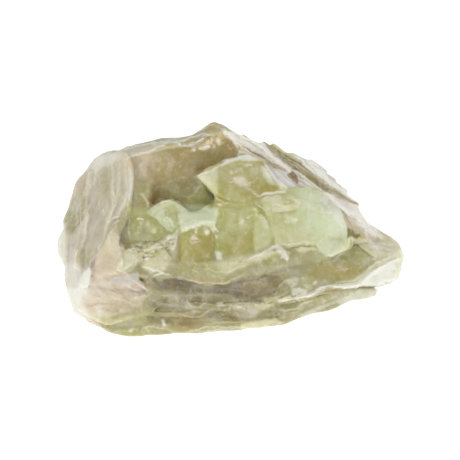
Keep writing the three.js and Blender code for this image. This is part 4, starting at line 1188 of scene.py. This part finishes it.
# The ragged edge of the split sheets, then the soft and the deep creases, which light fills in the real stone
EASINGS = (
    Easing(14, ("228,122 262,134 300,146 346,180 372,205 352,204 318,180 288,162 258,150 232,142",)),
    Easing(40, (
        "196,178 205,187 215,198 214,209 203,208 192,200", "128,268 150,270 162,284 152,292 132,286",
        "196,174 204,174 220,200 216,210 204,204 196,190", "172,220 183,224 182,266 172,264 170,236",
        "207,222 218,224 218,264 207,262", "145,178 160,180 160,210 145,210",
        "160,222 176,222 180,242 166,242", "322,252 346,236 354,242 334,268",
        "118,226 132,226 136,252 120,250", "128,238 168,238 168,250 128,252",
        "212,196 252,198 252,210 212,210", "180,202 214,202 214,214 184,216",
        "127,158 141,160 139,190 134,214 122,228 122,212 130,190", "90,238 106,234 104,262 92,278",
        "90,268 128,268 128,284 90,286", "100,316 124,314 146,306 148,318 120,326",
    )),
    Easing(260, ("208,198 220,200 220,228 208,228", "131,271 142,272 156,284 150,291 138,284")),
)


@dataclass(frozen=True)
class Cleavage:
    """The three ways in which calcite splits, and the steps that this leaves on a broken skin."""

    rhomb_deg: float = 101.9
    step: float = 2.3
    riser: float = 0.22
    wander: float = 1.1
    wander_size: float = 8.0
    front_share: float = 0.05
    back_share: float = 0.42
    turned_away: Pair = (-0.15, -0.6)
    along_plane: Pair = (0.45, 0.85)

    def normals(self) -> Array:
        """Works out how the three cleavage planes lie.

        Returns:
            Their normals in the front's own directions, one to a row.
        """
        axis = np.full(3, 1.0 / math.sqrt(3.0))
        along = math.sqrt((1.0 + 2.0 * math.cos(math.radians(self.rhomb_deg))) / 3.0)
        edges = []
        for i in range(3):
            aside = np.eye(3)[i] - axis * axis[i]
            edges.append(aside / np.linalg.norm(aside) * math.sqrt(1.0 - along ** 2) + axis * along)
        planes = np.array([np.cross(edges[i], edges[(i + 1) % 3]) for i in range(3)])
        return planes / np.linalg.norm(planes, axis=1, keepdims=True)

    def terraces(self, points: Array, facing: Array, noise: Noise) -> tuple[Array, Array]:
        """Breaks a skin into parallel steps.

        Args:
            points: Corners of the skin in mm.
            facing: The skin's broad direction at each corner.
            noise: What makes the steps wander.

        Returns:
            The moved corners, and from -1 to 1 the tone of the step that each lies on.
        """
        moved = points.copy()
        tone = np.zeros(len(points))
        away = smooth_step(*self.turned_away, facing[:, 2])
        share = self.front_share + (self.back_share - self.front_share) * away
        for i, plane in enumerate(self.normals()):
            wander = noise.layers(points + 53.0 * i, self.wander_size)
            level = points @ plane / self.step + self.wander * wander
            tread = np.floor(level)
            flat = tread + smooth_step(1.0 - self.riser, 1.0, level - tread) + 0.5 * (1.0 - self.riser)
            match = smooth_step(*self.along_plane, np.abs(facing @ plane))
            moved += plane * ((flat - level) * self.step * share * match)[:, None]
            tone += match * share * np.sin(tread * 12.9898 + 4.1 * i)
        return moved, tone


@dataclass
class Skin:
    """The lump's skin as arrays, in mm as the front is drawn, with its pigment and all its finish reads."""

    points: Array
    edges: Array
    mesh: bpy.types.Mesh
    sheet: Sheet
    facing: Array = field(default_factory=lambda: np.zeros(0))
    pigment: Array = field(default_factory=lambda: np.zeros((0, 3)))
    facts: dict[str, Array] = field(default_factory=dict)

    def normals(self) -> Array:
        """Reads how the skin lies.

        Returns:
            Its direction at each corner, in the front's own directions.
        """
        move_corners(self.mesh, self.sheet.to_row(self.points))
        found = np.empty(len(self.points) * 3, np.float32)
        self.mesh.vertex_normals.foreach_get("vector", found)
        return found.reshape(-1, 3).astype(float) @ self.sheet.axes().T

    def eased(self, values: Array, rounds: int) -> Array:
        """Evens out numbers over neighbouring corners.

        Args:
            values: One row to a corner.
            rounds: How many times each corner takes its neighbours' average.

        Returns:
            The evened numbers.
        """
        first, second = self.edges.T
        count = np.bincount(self.edges.ravel(), minlength=len(values))[:, None]
        flat = values.ndim == 1
        values = values.reshape(len(values), -1)
        for _ in range(rounds):
            total = np.stack([
                np.bincount(first, row[second], len(row)) + np.bincount(second, row[first], len(row))
                for row in values.T
            ], axis=1)
            values = np.where(count > 0, 0.5 * values + 0.5 * total / np.maximum(count, 1), values)
        return values[:, 0] if flat else values

    def relax(self, share: Array, rounds: int) -> None:
        """Smooths a part of the skin.

        Args:
            share: From 0 to 1 how far each corner is smoothed.
            rounds: How many times each corner takes its neighbours' average.
        """
        inside = np.flatnonzero(share > 0.0)
        number = np.full(len(share), -1)
        number[inside] = np.arange(len(inside))
        edges = number[self.edges]
        part = Skin(self.points[inside], edges[(edges >= 0).all(axis=1)], self.mesh, self.sheet)
        self.points[inside] += (part.eased(part.points, rounds) - part.points) * share[inside][:, None]

    def tinted(self, tint: Tint, near: Array | slice, cover: Array) -> None:
        """Lays one tint over the others, on the corners with these numbers."""
        self.pigment[near] += (tint.paint() - self.pigment[near]) * cover[:, None]


@dataclass
class Lump:
    """The whole lump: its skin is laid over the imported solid, broken up, drawn in and coloured.

    The sizes are in mm. The pairs are the two ends between which the skin's direction out of the front, from
    -1 to 1, fades a thing in or out.
    """

    name: str = "calcite_skin"
    grain_size: float = 0.30
    faces: int = 196000
    plain_first: float = 0.0002
    flat_foot: float = 0.25
    bends: dict[float, float] = field(default_factory=lambda: {5.5: 0.20, 1.6: 0.03})
    ragged: dict[float, float] = field(default_factory=lambda: {2.3: 1.3, 0.8: 0.8})
    cloud_bends: dict[float, float] = field(default_factory=lambda: {9.0: 4.0})
    drawn_on: Pair = (0.02, 0.30)
    painted_on: Pair = (-0.20, 0.12)
    smoothed_on: Pair = (-0.5, -0.2)
    sharp: float = 0.16
    under_skin: float = 0.15
    thin: float = 1.0
    thick: float = 9.0
    contrast: float = 0.05
    contrast_counts: float = 0.65
    grazing_sheen: float = 0.36
    rim_frost: float = 0.22
    light: Triple = (-0.16, 0.36, 0.92)
    sheet: Sheet = field(default_factory=Sheet)
    cleavage: Cleavage = field(default_factory=Cleavage)
    noise: Noise = field(default_factory=lambda: Noise(5))

    def build(self) -> bpy.types.Object:
        """Makes the lump's piece and dresses it.

        Returns:
            The finished piece.
        """
        skin = self.laid()
        for work in (self.roughen, self.cleave, self.soften, self.draw_in, self.settle, self.measure):
            work(skin)
        return self.finished(skin)

    def laid(self) -> Skin:
        """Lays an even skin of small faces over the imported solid.

        Returns:
            The skin, ready to be broken up.
        """
        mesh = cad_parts[NODE].data.copy()
        move_corners(mesh, corners_of(mesh) / MM)
        coarse = bpy.data.objects.new("coarse", mesh)
        bpy.context.collection.objects.link(coarse)
        remesh = coarse.modifiers.new("even", "REMESH")
        remesh.mode = "VOXEL"
        remesh.voxel_size = self.grain_size
        ready = coarse.evaluated_get(bpy.context.evaluated_depsgraph_get())
        even = bpy.data.meshes.new_from_object(ready)
        even.name = self.name
        bpy.data.objects.remove(coarse)
        bpy.data.meshes.remove(mesh)
        edges = np.empty(len(even.edges) * 2, np.int32)
        even.edges.foreach_get("vertices", edges)
        LOG.info("skin laid with %d corners", len(even.vertices))
        points = self.sheet.from_row(corners_of(even).astype(float))
        return Skin(points, edges.reshape(-1, 2), even, self.sheet)

    def roughen(self, skin: Skin) -> None:
        """Rounds the straight edges a little and bends the whole skin."""
        skin.points = skin.eased(skin.points, 2)
        skin.points += self.noise.apart(skin.points, self.bends, (0.0, 31.7, 2 * 31.7))

    def cleave(self, skin: Skin) -> None:
        """Breaks the skin into cleavage steps, and notes the tone of each.

        Args:
            skin: The lump's skin.
        """
        facing = skin.eased(skin.normals(), 16)
        facing /= np.linalg.norm(facing, axis=1, keepdims=True)
        skin.points, skin.facts["step_tone"] = self.cleavage.terraces(skin.points, facing, self.noise)

    def soften(self, skin: Skin) -> None:
        """Fills the sharpest creases of the front.

        Args:
            skin: The lump's skin.
        """
        spots = self.spots(skin)
        near_side = smooth_step(*self.smoothed_on, skin.eased(skin.normals(), 3)[:, 2])
        for easing in EASINGS:
            share = np.zeros(len(skin.points))
            for outline in easing.outlines:
                near, cover = Patch(outline).cover_at(spots)
                share[near] = np.maximum(share[near], cover * near_side[near])
            skin.relax(share, easing.rounds)

    def spots(self, skin: Skin) -> Spots:
        """Finds where each corner is on the drawing, with an uneven edge to all that is drawn."""
        return Spots(self.sheet.drawn(skin.points) + self.noise.apart(skin.points, self.ragged, (47.0, 94.0)))

    def draw_in(self, skin: Skin) -> None:
        """Colours the skin, and raises and cuts what is drawn on the front.

        Args:
            skin: The lump's skin.
        """
        normals = skin.eased(skin.normals(), 3)
        skin.facing = smooth_step(*self.drawn_on, normals[:, 2])
        skin.facts["glint_highlight"] = np.zeros(len(skin.points))
        spots = self.spots(skin)
        lift = np.zeros(len(skin.points))
        self.colour_through(skin, normals)
        self.grain_over(skin, spots, lift)
        self.block_in(skin, normals)
        reach = smooth_step(*self.painted_on, normals[:, 2])
        for area in FRONT:
            for mark in area.marks:
                near, cover = mark.cover_at(spots)
                lift[near] += mark.lift * cover * skin.facing[near]
                skin.tinted(mark.tint, near, mark.cover * cover * reach[near])
        skin.points[:, 2] += skin.eased(lift, 1)
        glints = [glint for area in FRONT for glint in area.glints]
        for glint in glints + [glint for area in FRONT for glint in area.loose_glints]:
            self.tip(skin, glint, spots)

    def colour_through(self, skin: Skin, normals: Array) -> None:
        """Lays on the soft colours that run through the stone, and a painted pale sheen where it turns from
        the eye.

        Args:
            skin: The lump's skin.
            normals: Its broad direction at each corner.
        """
        skin.pigment = np.tile(Tint.KHAKI.paint(), (len(skin.points), 1))
        bent = skin.points + self.noise.apart(skin.points, self.cloud_bends, (0.0, 71.0, 142.0))
        for cloud in CLOUDS:
            away = np.linalg.norm((bent - np.array(cloud.middle)) / np.array(cloud.half), axis=1)
            skin.tinted(cloud.tint, slice(None), cloud.cover * smooth_step(*cloud.FADE, away))
        # Painted sheen: the skin is whitened where it turns from the eye, as light glances off it there
        side = smooth_step(-0.35, 0.0, normals[:, 2]) * smooth_step(0.42, 0.05, normals[:, 2])
        skin.tinted(Tint.FROST, slice(None), self.grazing_sheen * side)

    def grain_over(self, skin: Skin, spots: Spots, lift: Array) -> None:
        """Runs each area's grain over it, and the faint lines of the cleavage over the rest.

        Args:
            skin: The lump's skin.
            spots: Where its corners are on the drawing.
            lift: How far each corner is to be raised, in mm, which is added to.
        """
        first, second, _ = self.cleavage.normals()
        place = np.stack([skin.points @ first, skin.points @ second * 0.12, skin.points[:, 2] * 0.1], axis=1)
        streak = self.noise.layers(place, 1.6)
        for area in FRONT:
            near, cover = area.patch.cover_at(spots)
            if area.grain is None:
                streak[near] = streak[near] * (1.0 - 0.8 * cover)
                continue
            ridges = self.grain_at(skin.points[near], area.grain)
            lift[near] += area.grain.height * ridges * cover * skin.facing[near]
            streak[near] = streak[near] * (1.0 - cover) + ridges * cover * area.grain.tone
        skin.facts["streak"] = streak

    def grain_at(self, points: Array, grain: Grain) -> Array:
        """Reads a grain's ridges.

        Args:
            points: Corners of the skin, as the front is drawn.
            grain: The grain.

        Returns:
            From -1 in a furrow to 1 on a ridge.
        """
        angle = math.radians(grain.angle_deg)
        along = points[:, 0] * math.cos(angle) + points[:, 1] * math.sin(angle)
        across = -points[:, 0] * math.sin(angle) + points[:, 1] * math.cos(angle)
        place = np.stack([along / grain.stretch, across, points[:, 2] * 0.5], axis=1)
        place += 0.35 * self.noise.at(points, 3.5)[:, None]
        return 1.0 - 2.6 * np.abs(self.noise.layers(place, grain.spacing))

    def block_in(self, skin: Skin, normals: Array) -> None:
        """Breaks the stone outside the drawn front into cleavage blocks, with pale edges.

        Args:
            skin: The lump's skin.
            normals: Its broad direction at each corner.
        """
        place = skin.points @ self.cleavage.normals().T
        for number, blocks in enumerate(BLOCKS):
            far = skin.points + 61.0 * number
            wander = [self.noise.layers(far + 19.0 * i, blocks.size[0] * 0.9) for i in range(3)]
            level = place / np.array(blocks.size) + blocks.WANDER * np.stack(wander, axis=1)
            cell = np.floor(level)
            inner = 0.5 - np.abs(level - cell - 0.5)
            edge = (inner * np.array(blocks.size)).min(axis=1)
            roll = scrambled(cell @ np.array([12.9898, 78.233, 37.719]) + number)
            picked = (1.0 - skin.facing) * (roll < blocks.share)
            rim = picked * smooth_step(blocks.RIM, 0.1, edge)
            cover = blocks.cover * picked * smooth_step(0.0, blocks.RIM, edge)
            kind = np.floor(roll / blocks.share * len(blocks.tints)).astype(int)
            for i, tint in enumerate(blocks.tints):
                near = np.flatnonzero((kind == i) & (picked > 0.0))
                skin.tinted(tint, near, cover[near])
            skin.tinted(Tint.FROST, slice(None), self.rim_frost * rim)
            height = blocks.lift * (roll / blocks.share - 0.35) * picked
            skin.points += normals * skin.eased(height, 1)[:, None]

    def tip(self, skin: Skin, glint: Glint, spots: Spots) -> None:
        """Tips a small facet so that the eye sees the main light in it, and marks it for a painted highlight.

        Args:
            skin: The lump's skin.
            glint: The facet.
            spots: Where each corner is on the drawing.
        """
        near, cover = Patch(glint.outline, glint.soft).cover_at(spots)
        cover = cover * skin.facing[near]
        if cover.sum() < 1.0:
            return
        middle = (skin.points[near] * cover[:, None]).sum(axis=0) / cover.sum()
        facing = np.array(self.light)
        facing /= np.linalg.norm(facing)
        offset = (middle - skin.points[near]) @ facing / facing[2]
        skin.points[near, 2] += cover * np.clip(offset, -glint.depth, glint.depth)
        # Notes where the painted highlight is laid on in the finish
        skin.facts["glint_highlight"][near] = np.maximum(skin.facts["glint_highlight"][near], cover)

    def settle(self, skin: Skin) -> None:
        """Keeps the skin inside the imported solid's box, and its foot flat.

        Args:
            skin: The lump's skin.
        """
        row = self.sheet.to_row(skin.points)
        low, high = (np.array(corner) / MM for corner in CAD_BOX)
        row = np.clip(row, low, high)
        row[:, 2] = np.where(row[:, 2] < self.flat_foot, 0.0, row[:, 2])
        skin.points = self.sheet.from_row(row)

    def measure(self, skin: Skin) -> None:
        """Stores on the mesh what the finish reads: its pigment, edges, hollows, thin places and steps.

        Args:
            skin: The lump's skin.
        """
        normals = skin.normals()
        fine = np.einsum("ij,ij->i", skin.points - skin.eased(skin.points, 4), normals)
        skin.facts |= {
            "edge": np.clip(fine / self.sharp, 0.0, 1.0),
            "nick": np.clip(-fine / self.sharp, 0.0, 1.0),
            "thin": self.thinness(skin, normals),
            "step_tone": skin.eased(skin.facts["step_tone"], 1),
        }
        for name, values in skin.facts.items():
            layer = skin.mesh.attributes.new(name, "FLOAT", "POINT")
            layer.data.foreach_set("value", values.astype(np.float32))
        pigment = np.concatenate([skin.pigment, np.ones((len(skin.pigment), 1))], axis=1)
        layer = skin.mesh.attributes.new("pigment", "FLOAT_COLOR", "POINT")
        layer.data.foreach_set("color", pigment.astype(np.float32).ravel())

    def thinness(self, skin: Skin, normals: Array) -> Array:
        """Feels how thin the stone is under each corner.

        Args:
            skin: The lump's skin.
            normals: Its direction at each corner.

        Returns:
            From 1 where it is thin to 0 where it is thick.
        """
        faces = [tuple(face.vertices) for face in skin.mesh.polygons]
        tree = BVHTree.FromPolygons([Vector(p) for p in skin.points], faces)
        depth = np.full(len(skin.points), self.thick)
        for i, (point, normal) in enumerate(zip(skin.points, normals)):
            inward = Vector(-normal)
            hit = tree.ray_cast(Vector(point) + inward * self.under_skin, inward, self.thick)
            if hit[3] is not None:
                depth[i] = hit[3]
        return skin.eased(smooth_step(self.thick, self.thin, depth), 3)

    def finished(self, skin: Skin) -> bpy.types.Object:
        """Turns the skin into the lump's piece.

        Args:
            skin: The lump's skin.

        Returns:
            The piece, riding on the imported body.
        """
        skin.mesh.polygons.foreach_set("use_smooth", np.ones(len(skin.mesh.polygons), dtype=bool))
        move_corners(skin.mesh, self.sheet.to_row(skin.points) * MM)
        mesh = self.thinned(skin)
        piece = bpy.data.objects.new(self.name, mesh)
        bpy.context.collection.objects.link(piece)
        mesh.materials.clear()
        mesh.materials.append(CloudyCalcite().material())
        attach(piece, "root")
        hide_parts(NODE)
        LOG.info("%s: %d triangles", piece.name, sum(len(face.vertices) - 2 for face in mesh.polygons))
        return piece

    def thinned(self, skin: Skin) -> bpy.types.Mesh:
        """Takes faces out where the stone's colour and shape are plain.

        Args:
            skin: The lump's skin.

        Returns:
            The mesh with its final faces.
        """
        first, second = skin.edges.T
        contrast = np.abs(skin.pigment[first] - skin.pigment[second]).max(axis=1)
        detail = np.zeros(len(skin.points))
        np.maximum.at(detail, first, contrast)
        np.maximum.at(detail, second, contrast)
        even = 1.0 - smooth_step(0.0, self.contrast, skin.eased(detail, 2))
        plain = self.contrast_counts * even + (1.0 - self.contrast_counts) * (1.0 - skin.facing)
        full = bpy.data.objects.new("full", skin.mesh)
        bpy.context.collection.objects.link(full)
        group = full.vertex_groups.new(name="plain")
        grades = np.round(np.clip(plain, 0.05, 1.0) * 10.0).astype(int)
        for grade in np.unique(grades):
            group.add(np.flatnonzero(grades == grade).tolist(), float(grade) / 10.0, "REPLACE")
        fewer = full.modifiers.new("fewer", "DECIMATE")
        fewer.ratio = self.faces / (2.0 * len(skin.mesh.polygons))
        fewer.vertex_group = group.name
        fewer.vertex_group_factor = self.plain_first
        ready = full.evaluated_get(bpy.context.evaluated_depsgraph_get())
        mesh = bpy.data.meshes.new_from_object(ready)
        mesh.name = self.name
        bpy.data.objects.remove(full)
        low, high = (np.array(corner, np.float32) for corner in CAD_BOX)
        move_corners(mesh, np.clip(corners_of(mesh), low, high))
        return mesh


class Blend(Enum):
    """How a colour lies on the one below it."""

    OVER = "MIX"
    DARKEN = "MULTIPLY"


class Wire:
    """A number in a material's nodes, which Python expressions add to."""

    def __init__(self, bench: "Bench", socket: bpy.types.NodeSocket) -> None:
        """Holds the socket that gives the number."""
        self.bench = bench
        self.socket = socket

    def maths(self, operation: str, *values: "Wire | float") -> "Wire":
        """Adds one Math node that reads these values."""
        return self.bench.node("ShaderNodeMath", {"operation": operation}, dict(enumerate(values)))

    def __add__(self, other: "Wire | float") -> "Wire":
        """Adds."""
        return self.maths("ADD", self, other)

    def __sub__(self, other: "Wire | float") -> "Wire":
        """Takes away."""
        return self.maths("SUBTRACT", self, other)

    def __rsub__(self, other: "Wire | float") -> "Wire":
        """Is taken away from a number."""
        return self.maths("SUBTRACT", other, self)

    def __mul__(self, other: "Wire | float") -> "Wire":
        """Multiplies."""
        return self.maths("MULTIPLY", self, other)

    __radd__ = __add__
    __rmul__ = __mul__

    def size(self) -> "Wire":
        """Drops the number's sign."""
        return self.maths("ABSOLUTE", self)

    def clamped(self) -> "Wire":
        """Keeps the number from 0 to 1."""
        return self.bench.node("ShaderNodeClamp", {}, {"Value": self})

    def step(self, low: float, high: float) -> "Wire":
        """Rises softly from 0 at low to 1 at high."""
        ends = {"Value": self, "From Min": low, "From Max": high}
        return self.bench.node("ShaderNodeMapRange", {"interpolation_type": "SMOOTHSTEP"}, ends)


class Bench:
    """A node tree under work."""

    def __init__(self, tree: bpy.types.NodeTree) -> None:
        """Empties the tree, to build in it."""
        tree.nodes.clear()
        self.tree = tree

    def node(self, kind: str, settings: dict, inputs: dict, output: int | str | None = 0) -> Wire | None:
        """Adds a node.

        Args:
            kind: Its type.
            settings: Its own settings, which are set first.
            inputs: The value or the wire for each socket that is given one.
            output: Which of its sockets to go on from, or None at the end of the tree.

        Returns:
            The wire from that socket, if there is one.
        """
        made = self.tree.nodes.new(kind)
        for name, value in settings.items():
            setattr(made, name, value)
        for name, value in inputs.items():
            if isinstance(value, Wire):
                self.tree.links.new(value.socket, made.inputs[name])
            else:
                made.inputs[name].default_value = value
        return None if output is None else Wire(self, made.outputs[output])

    def noted(self, name: str, kind: str = "Fac") -> Wire:
        """Reads a number, or with the kind "Color" a colour, that is stored on the mesh."""
        return self.node("ShaderNodeAttribute", {"attribute_name": name}, {}, kind)

    def mixed(self, share: Wire | float, first: object, second: object, blend: Blend = Blend.OVER) -> Wire:
        """Lays a share of the second colour on the first."""
        settings = {"data_type": "RGBA", "blend_type": blend.value, "clamp_factor": True}
        return self.node("ShaderNodeMix", settings, {0: share, 6: first, 7: second}, 2)

    def cloud(self, place: Wire, scale: float, detail: float = 3.0, distortion: float = 0.0) -> Wire:
        """Reads a noise texture, from 0 to 1."""
        inputs = {"Vector": place, "Scale": scale, "Detail": detail, "Distortion": distortion}
        return self.node("ShaderNodeTexNoise", {}, inputs, 0)


@dataclass(frozen=True)
class CloudyCalcite:
    """The stone's finish: milky and see-through, with fine lines, glossy facets, and painted light:
    highlights on its edges and glints, shade in its nicks and a glow where it is thin.
    """

    name: str = "green_calcite"
    glow_mm: float = 4.0
    bend: float = 1.57
    clear_bend: float = 1.3
    clear_share: float = 0.22
    rough: float = 0.30
    coat: float = 0.12
    coat_rough: float = 0.2
    ripple_mm: float = 0.05

    def material(self) -> bpy.types.Material:
        """Makes the material.

        Returns:
            The material with all its nodes.
        """
        made = bpy.data.materials.new(self.name)
        made.use_nodes = True
        bench = Bench(made.node_tree)
        place = bench.node("ShaderNodeTexCoord", {}, {}, "Object")
        colour = self.worn(bench, place)
        bump = self.relief(bench, place)
        gloss = bench.cloud(place, 420.0, 2.0)
        uneven = gloss * 0.16 + self.rough
        rough = (uneven - bench.noted("glint_highlight") * 0.22 + bench.noted("nick") * 0.1).clamped()
        stone = bench.node("ShaderNodeBsdfPrincipled", {"subsurface_method": "RANDOM_WALK"}, {
            "Base Color": colour, "Roughness": rough, "IOR": self.bend, "Normal": bump,
            "Subsurface Weight": 1.0, "Subsurface Radius": (1.0, 1.0, 0.85),
            "Subsurface Scale": self.glow_mm * MM, "Coat Weight": self.coat,
            "Coat Roughness": self.coat_rough,
        })
        clear = bench.node("ShaderNodeBsdfPrincipled", {}, {
            "Base Color": bench.mixed(0.55, colour, (1.0, 1.0, 1.0, 1.0)), "Roughness": rough,
            "IOR": self.clear_bend, "Transmission Weight": 1.0, "Normal": bump,
        })
        share = (bench.noted("thin").step(0.45, 1.0) * self.clear_share).clamped()
        both = bench.node("ShaderNodeMixShader", {}, {0: share, 1: stone, 2: clear})
        bench.node("ShaderNodeOutputMaterial", {}, {"Surface": both}, None)
        return made

    def worn(self, bench: Bench, place: Wire) -> Wire:
        """Adds the cloudiness and lines to the pigment that is noted on the mesh, with painted shade in the
        nicks, painted highlights on the edges and glints, and a painted glow where the stone is thin.

        Args:
            bench: The node tree.
            place: The place on the stone.

        Returns:
            The whole colour.
        """
        milk = bench.cloud(place, 260.0, 4.0, 0.6).step(0.42, 0.72)
        deep = bench.cloud(place, 170.0, 3.0, 0.4).step(0.45, 0.75)
        grit = bench.cloud(place, 900.0, 5.0, 0.8)
        sparse = bench.cloud(place, 120.0, 2.0).step(0.45, 0.65)
        wisp = (1.0 - (bench.cloud(place, 210.0, 6.0, 0.4) - 0.5).size() * 16.0).clamped() * sparse
        tone, streak = bench.noted("step_tone"), bench.noted("streak")
        coats = (
            (milk * 0.14, Blend.OVER, (0.93, 0.93, 0.88)),
            (deep * 0.18, Blend.DARKEN, (0.86, 0.82, 0.66)),
            (grit.step(0.52, 0.78) * 0.28, Blend.OVER, (0.94, 0.93, 0.87)),
            ((1.0 - grit).step(0.52, 0.78) * 0.28, Blend.DARKEN, (0.80, 0.77, 0.62)),
            (wisp * 0.16, Blend.OVER, (0.95, 0.94, 0.89)),
            (tone.step(0.1, 1.0) * 0.14, Blend.OVER, (0.93, 0.93, 0.86)),
            ((0.0 - tone).step(0.1, 1.0) * 0.22, Blend.DARKEN, (0.82, 0.80, 0.66)),
            (streak.step(0.1, 1.0) * 0.20, Blend.OVER, (0.93, 0.92, 0.86)),
            ((0.0 - streak).step(0.0, 1.4) * 0.20, Blend.DARKEN, (0.76, 0.73, 0.62)),
            # Painted shade: small concave nicks and creases darkened
            (bench.noted("nick").step(0.15, 0.9) * 0.4, Blend.DARKEN, (0.66, 0.62, 0.44)),
            # Painted glow: thin places whitened as if light shone through them
            (bench.noted("thin").step(0.2, 0.95) * 0.5, Blend.OVER, (0.95, 0.95, 0.92)),
            # Painted highlight: sharp convex edges whitened
            (bench.noted("edge").step(0.25, 1.0) * 0.6, Blend.OVER, (0.94, 0.93, 0.88)),
            # Painted highlight: pale cream laid over the glint facets
            (bench.noted("glint_highlight") * 0.55, Blend.OVER, (0.96, 0.93, 0.86)),
        )
        colour = bench.noted("pigment", "Color")
        for share, blend, seen in coats:
            colour = bench.mixed(share, colour, linear(*seen), blend)
        return colour

    def relief(self, bench: Bench, place: Wire) -> Wire:
        """Adds the fine ripples of a glossy break.

        Args:
            bench: The node tree.
            place: The place on the stone.

        Returns:
            The bumped normal.
        """
        ripple = bench.cloud(place, 420.0, 2.0, 0.6)
        fine = bench.cloud(place, 1700.0, 2.0)
        height = ripple * 0.8 + fine * 0.12 + bench.noted("streak") * 0.1
        inputs = {"Strength": 1.0, "Distance": self.ripple_mm * MM, "Height": height}
        return bench.node("ShaderNodeBump", {}, inputs)


@dataclass(frozen=True)
class Softbox:
    """A square softbox: where its middle is (m), the length of its side (m) and its power (W)."""

    name: str
    place: Triple
    side: float
    power: float

    def hang(self, middle: Vector) -> None:
        """Hangs the softbox so that it faces the lump.

        Args:
            middle: The middle of the lump, in metres.
        """
        lamp = bpy.data.lights.new(self.name, "AREA")
        lamp.shape = "SQUARE"
        lamp.size = self.side
        lamp.energy = self.power
        holder = bpy.data.objects.new(self.name, lamp)
        bpy.context.collection.objects.link(holder)
        holder.location = Vector(self.place)
        holder.rotation_euler = (middle - holder.location).to_track_quat("-Z", "Y").to_euler()


@dataclass(frozen=True)
class Studio:
    """The plain white studio: a glowing floor, soft lights and the camera that looks down on the lump."""

    floor_half: float = 6.0
    floor_grey: float = 0.25
    floor_rough: float = 0.9
    floor_glow: float = 0.97
    air_glow: float = 0.6
    softboxes: tuple[Softbox, ...] = (
        Softbox("key", (-0.30, -0.62, 0.86), 0.5, 2.6), Softbox("side", (0.95, 0.10, 0.55), 0.8, 1.3),
    )
    lens: float = 180.0
    sensor: float = 36.0
    far_end: float = 50.0
    elevation_deg: float = 20.0
    sheet: Sheet = field(default_factory=Sheet)

    def build(self) -> None:
        """Sets up everything that isn't the stone."""
        self.floor()
        self.world()
        for softbox in self.softboxes:
            softbox.hang(Vector(self.sheet.middle) * MM)
        self.camera()
        bpy.context.scene.view_settings.view_transform = "Standard"
        LOG.info("studio ready")

    def floor(self) -> None:
        """Makes the plain white floor, which glows a little like a light table."""
        half = self.floor_half
        mesh = bpy.data.meshes.new("floor")
        corners = [(-half, -half, 0), (half, -half, 0), (half, half, 0), (-half, half, 0)]
        mesh.from_pydata(corners, [], [(0, 1, 2, 3)])
        material = bpy.data.materials.new("white_floor")
        material.use_nodes = True
        inputs = material.node_tree.nodes["Principled BSDF"].inputs
        inputs["Base Color"].default_value = (self.floor_grey, self.floor_grey, self.floor_grey, 1.0)
        inputs["Roughness"].default_value = self.floor_rough
        inputs["Emission Color"].default_value = (1.0, 1.0, 1.0, 1.0)
        inputs["Emission Strength"].default_value = self.floor_glow
        mesh.materials.append(material)
        floor = bpy.data.objects.new("floor", mesh)
        bpy.context.collection.objects.link(floor)

    def world(self) -> None:
        """Surrounds the stone with soft white."""
        world = bpy.data.worlds.new("studio")
        bpy.context.scene.world = world
        world.use_nodes = True
        inputs = world.node_tree.nodes["Background"].inputs
        inputs["Color"].default_value = (1.0, 1.0, 1.0, 1.0)
        inputs["Strength"].default_value = self.air_glow

    def camera(self) -> None:
        """Sets the camera at the eye of the drawing."""
        eye = bpy.data.cameras.new("camera")
        eye.lens = self.lens
        eye.sensor_width = self.sensor
        eye.clip_end = self.far_end
        holder = bpy.data.objects.new("camera", eye)
        bpy.context.collection.objects.link(holder)
        rise = math.radians(self.elevation_deg)
        back = Vector((0.0, -math.cos(rise), math.sin(rise)))
        holder.location = Vector(self.sheet.middle) * MM + back * self.sheet.eye * MM
        holder.rotation_euler = (-back).to_track_quat("-Z", "Y").to_euler()
        bpy.context.scene.camera = holder


def main() -> None:
    """Builds the lump and the studio."""
    logging.basicConfig(level=logging.INFO, format="%(name)s: %(message)s")
    Lump().build()
    Studio().build()


if __name__ == "__main__":
    main()
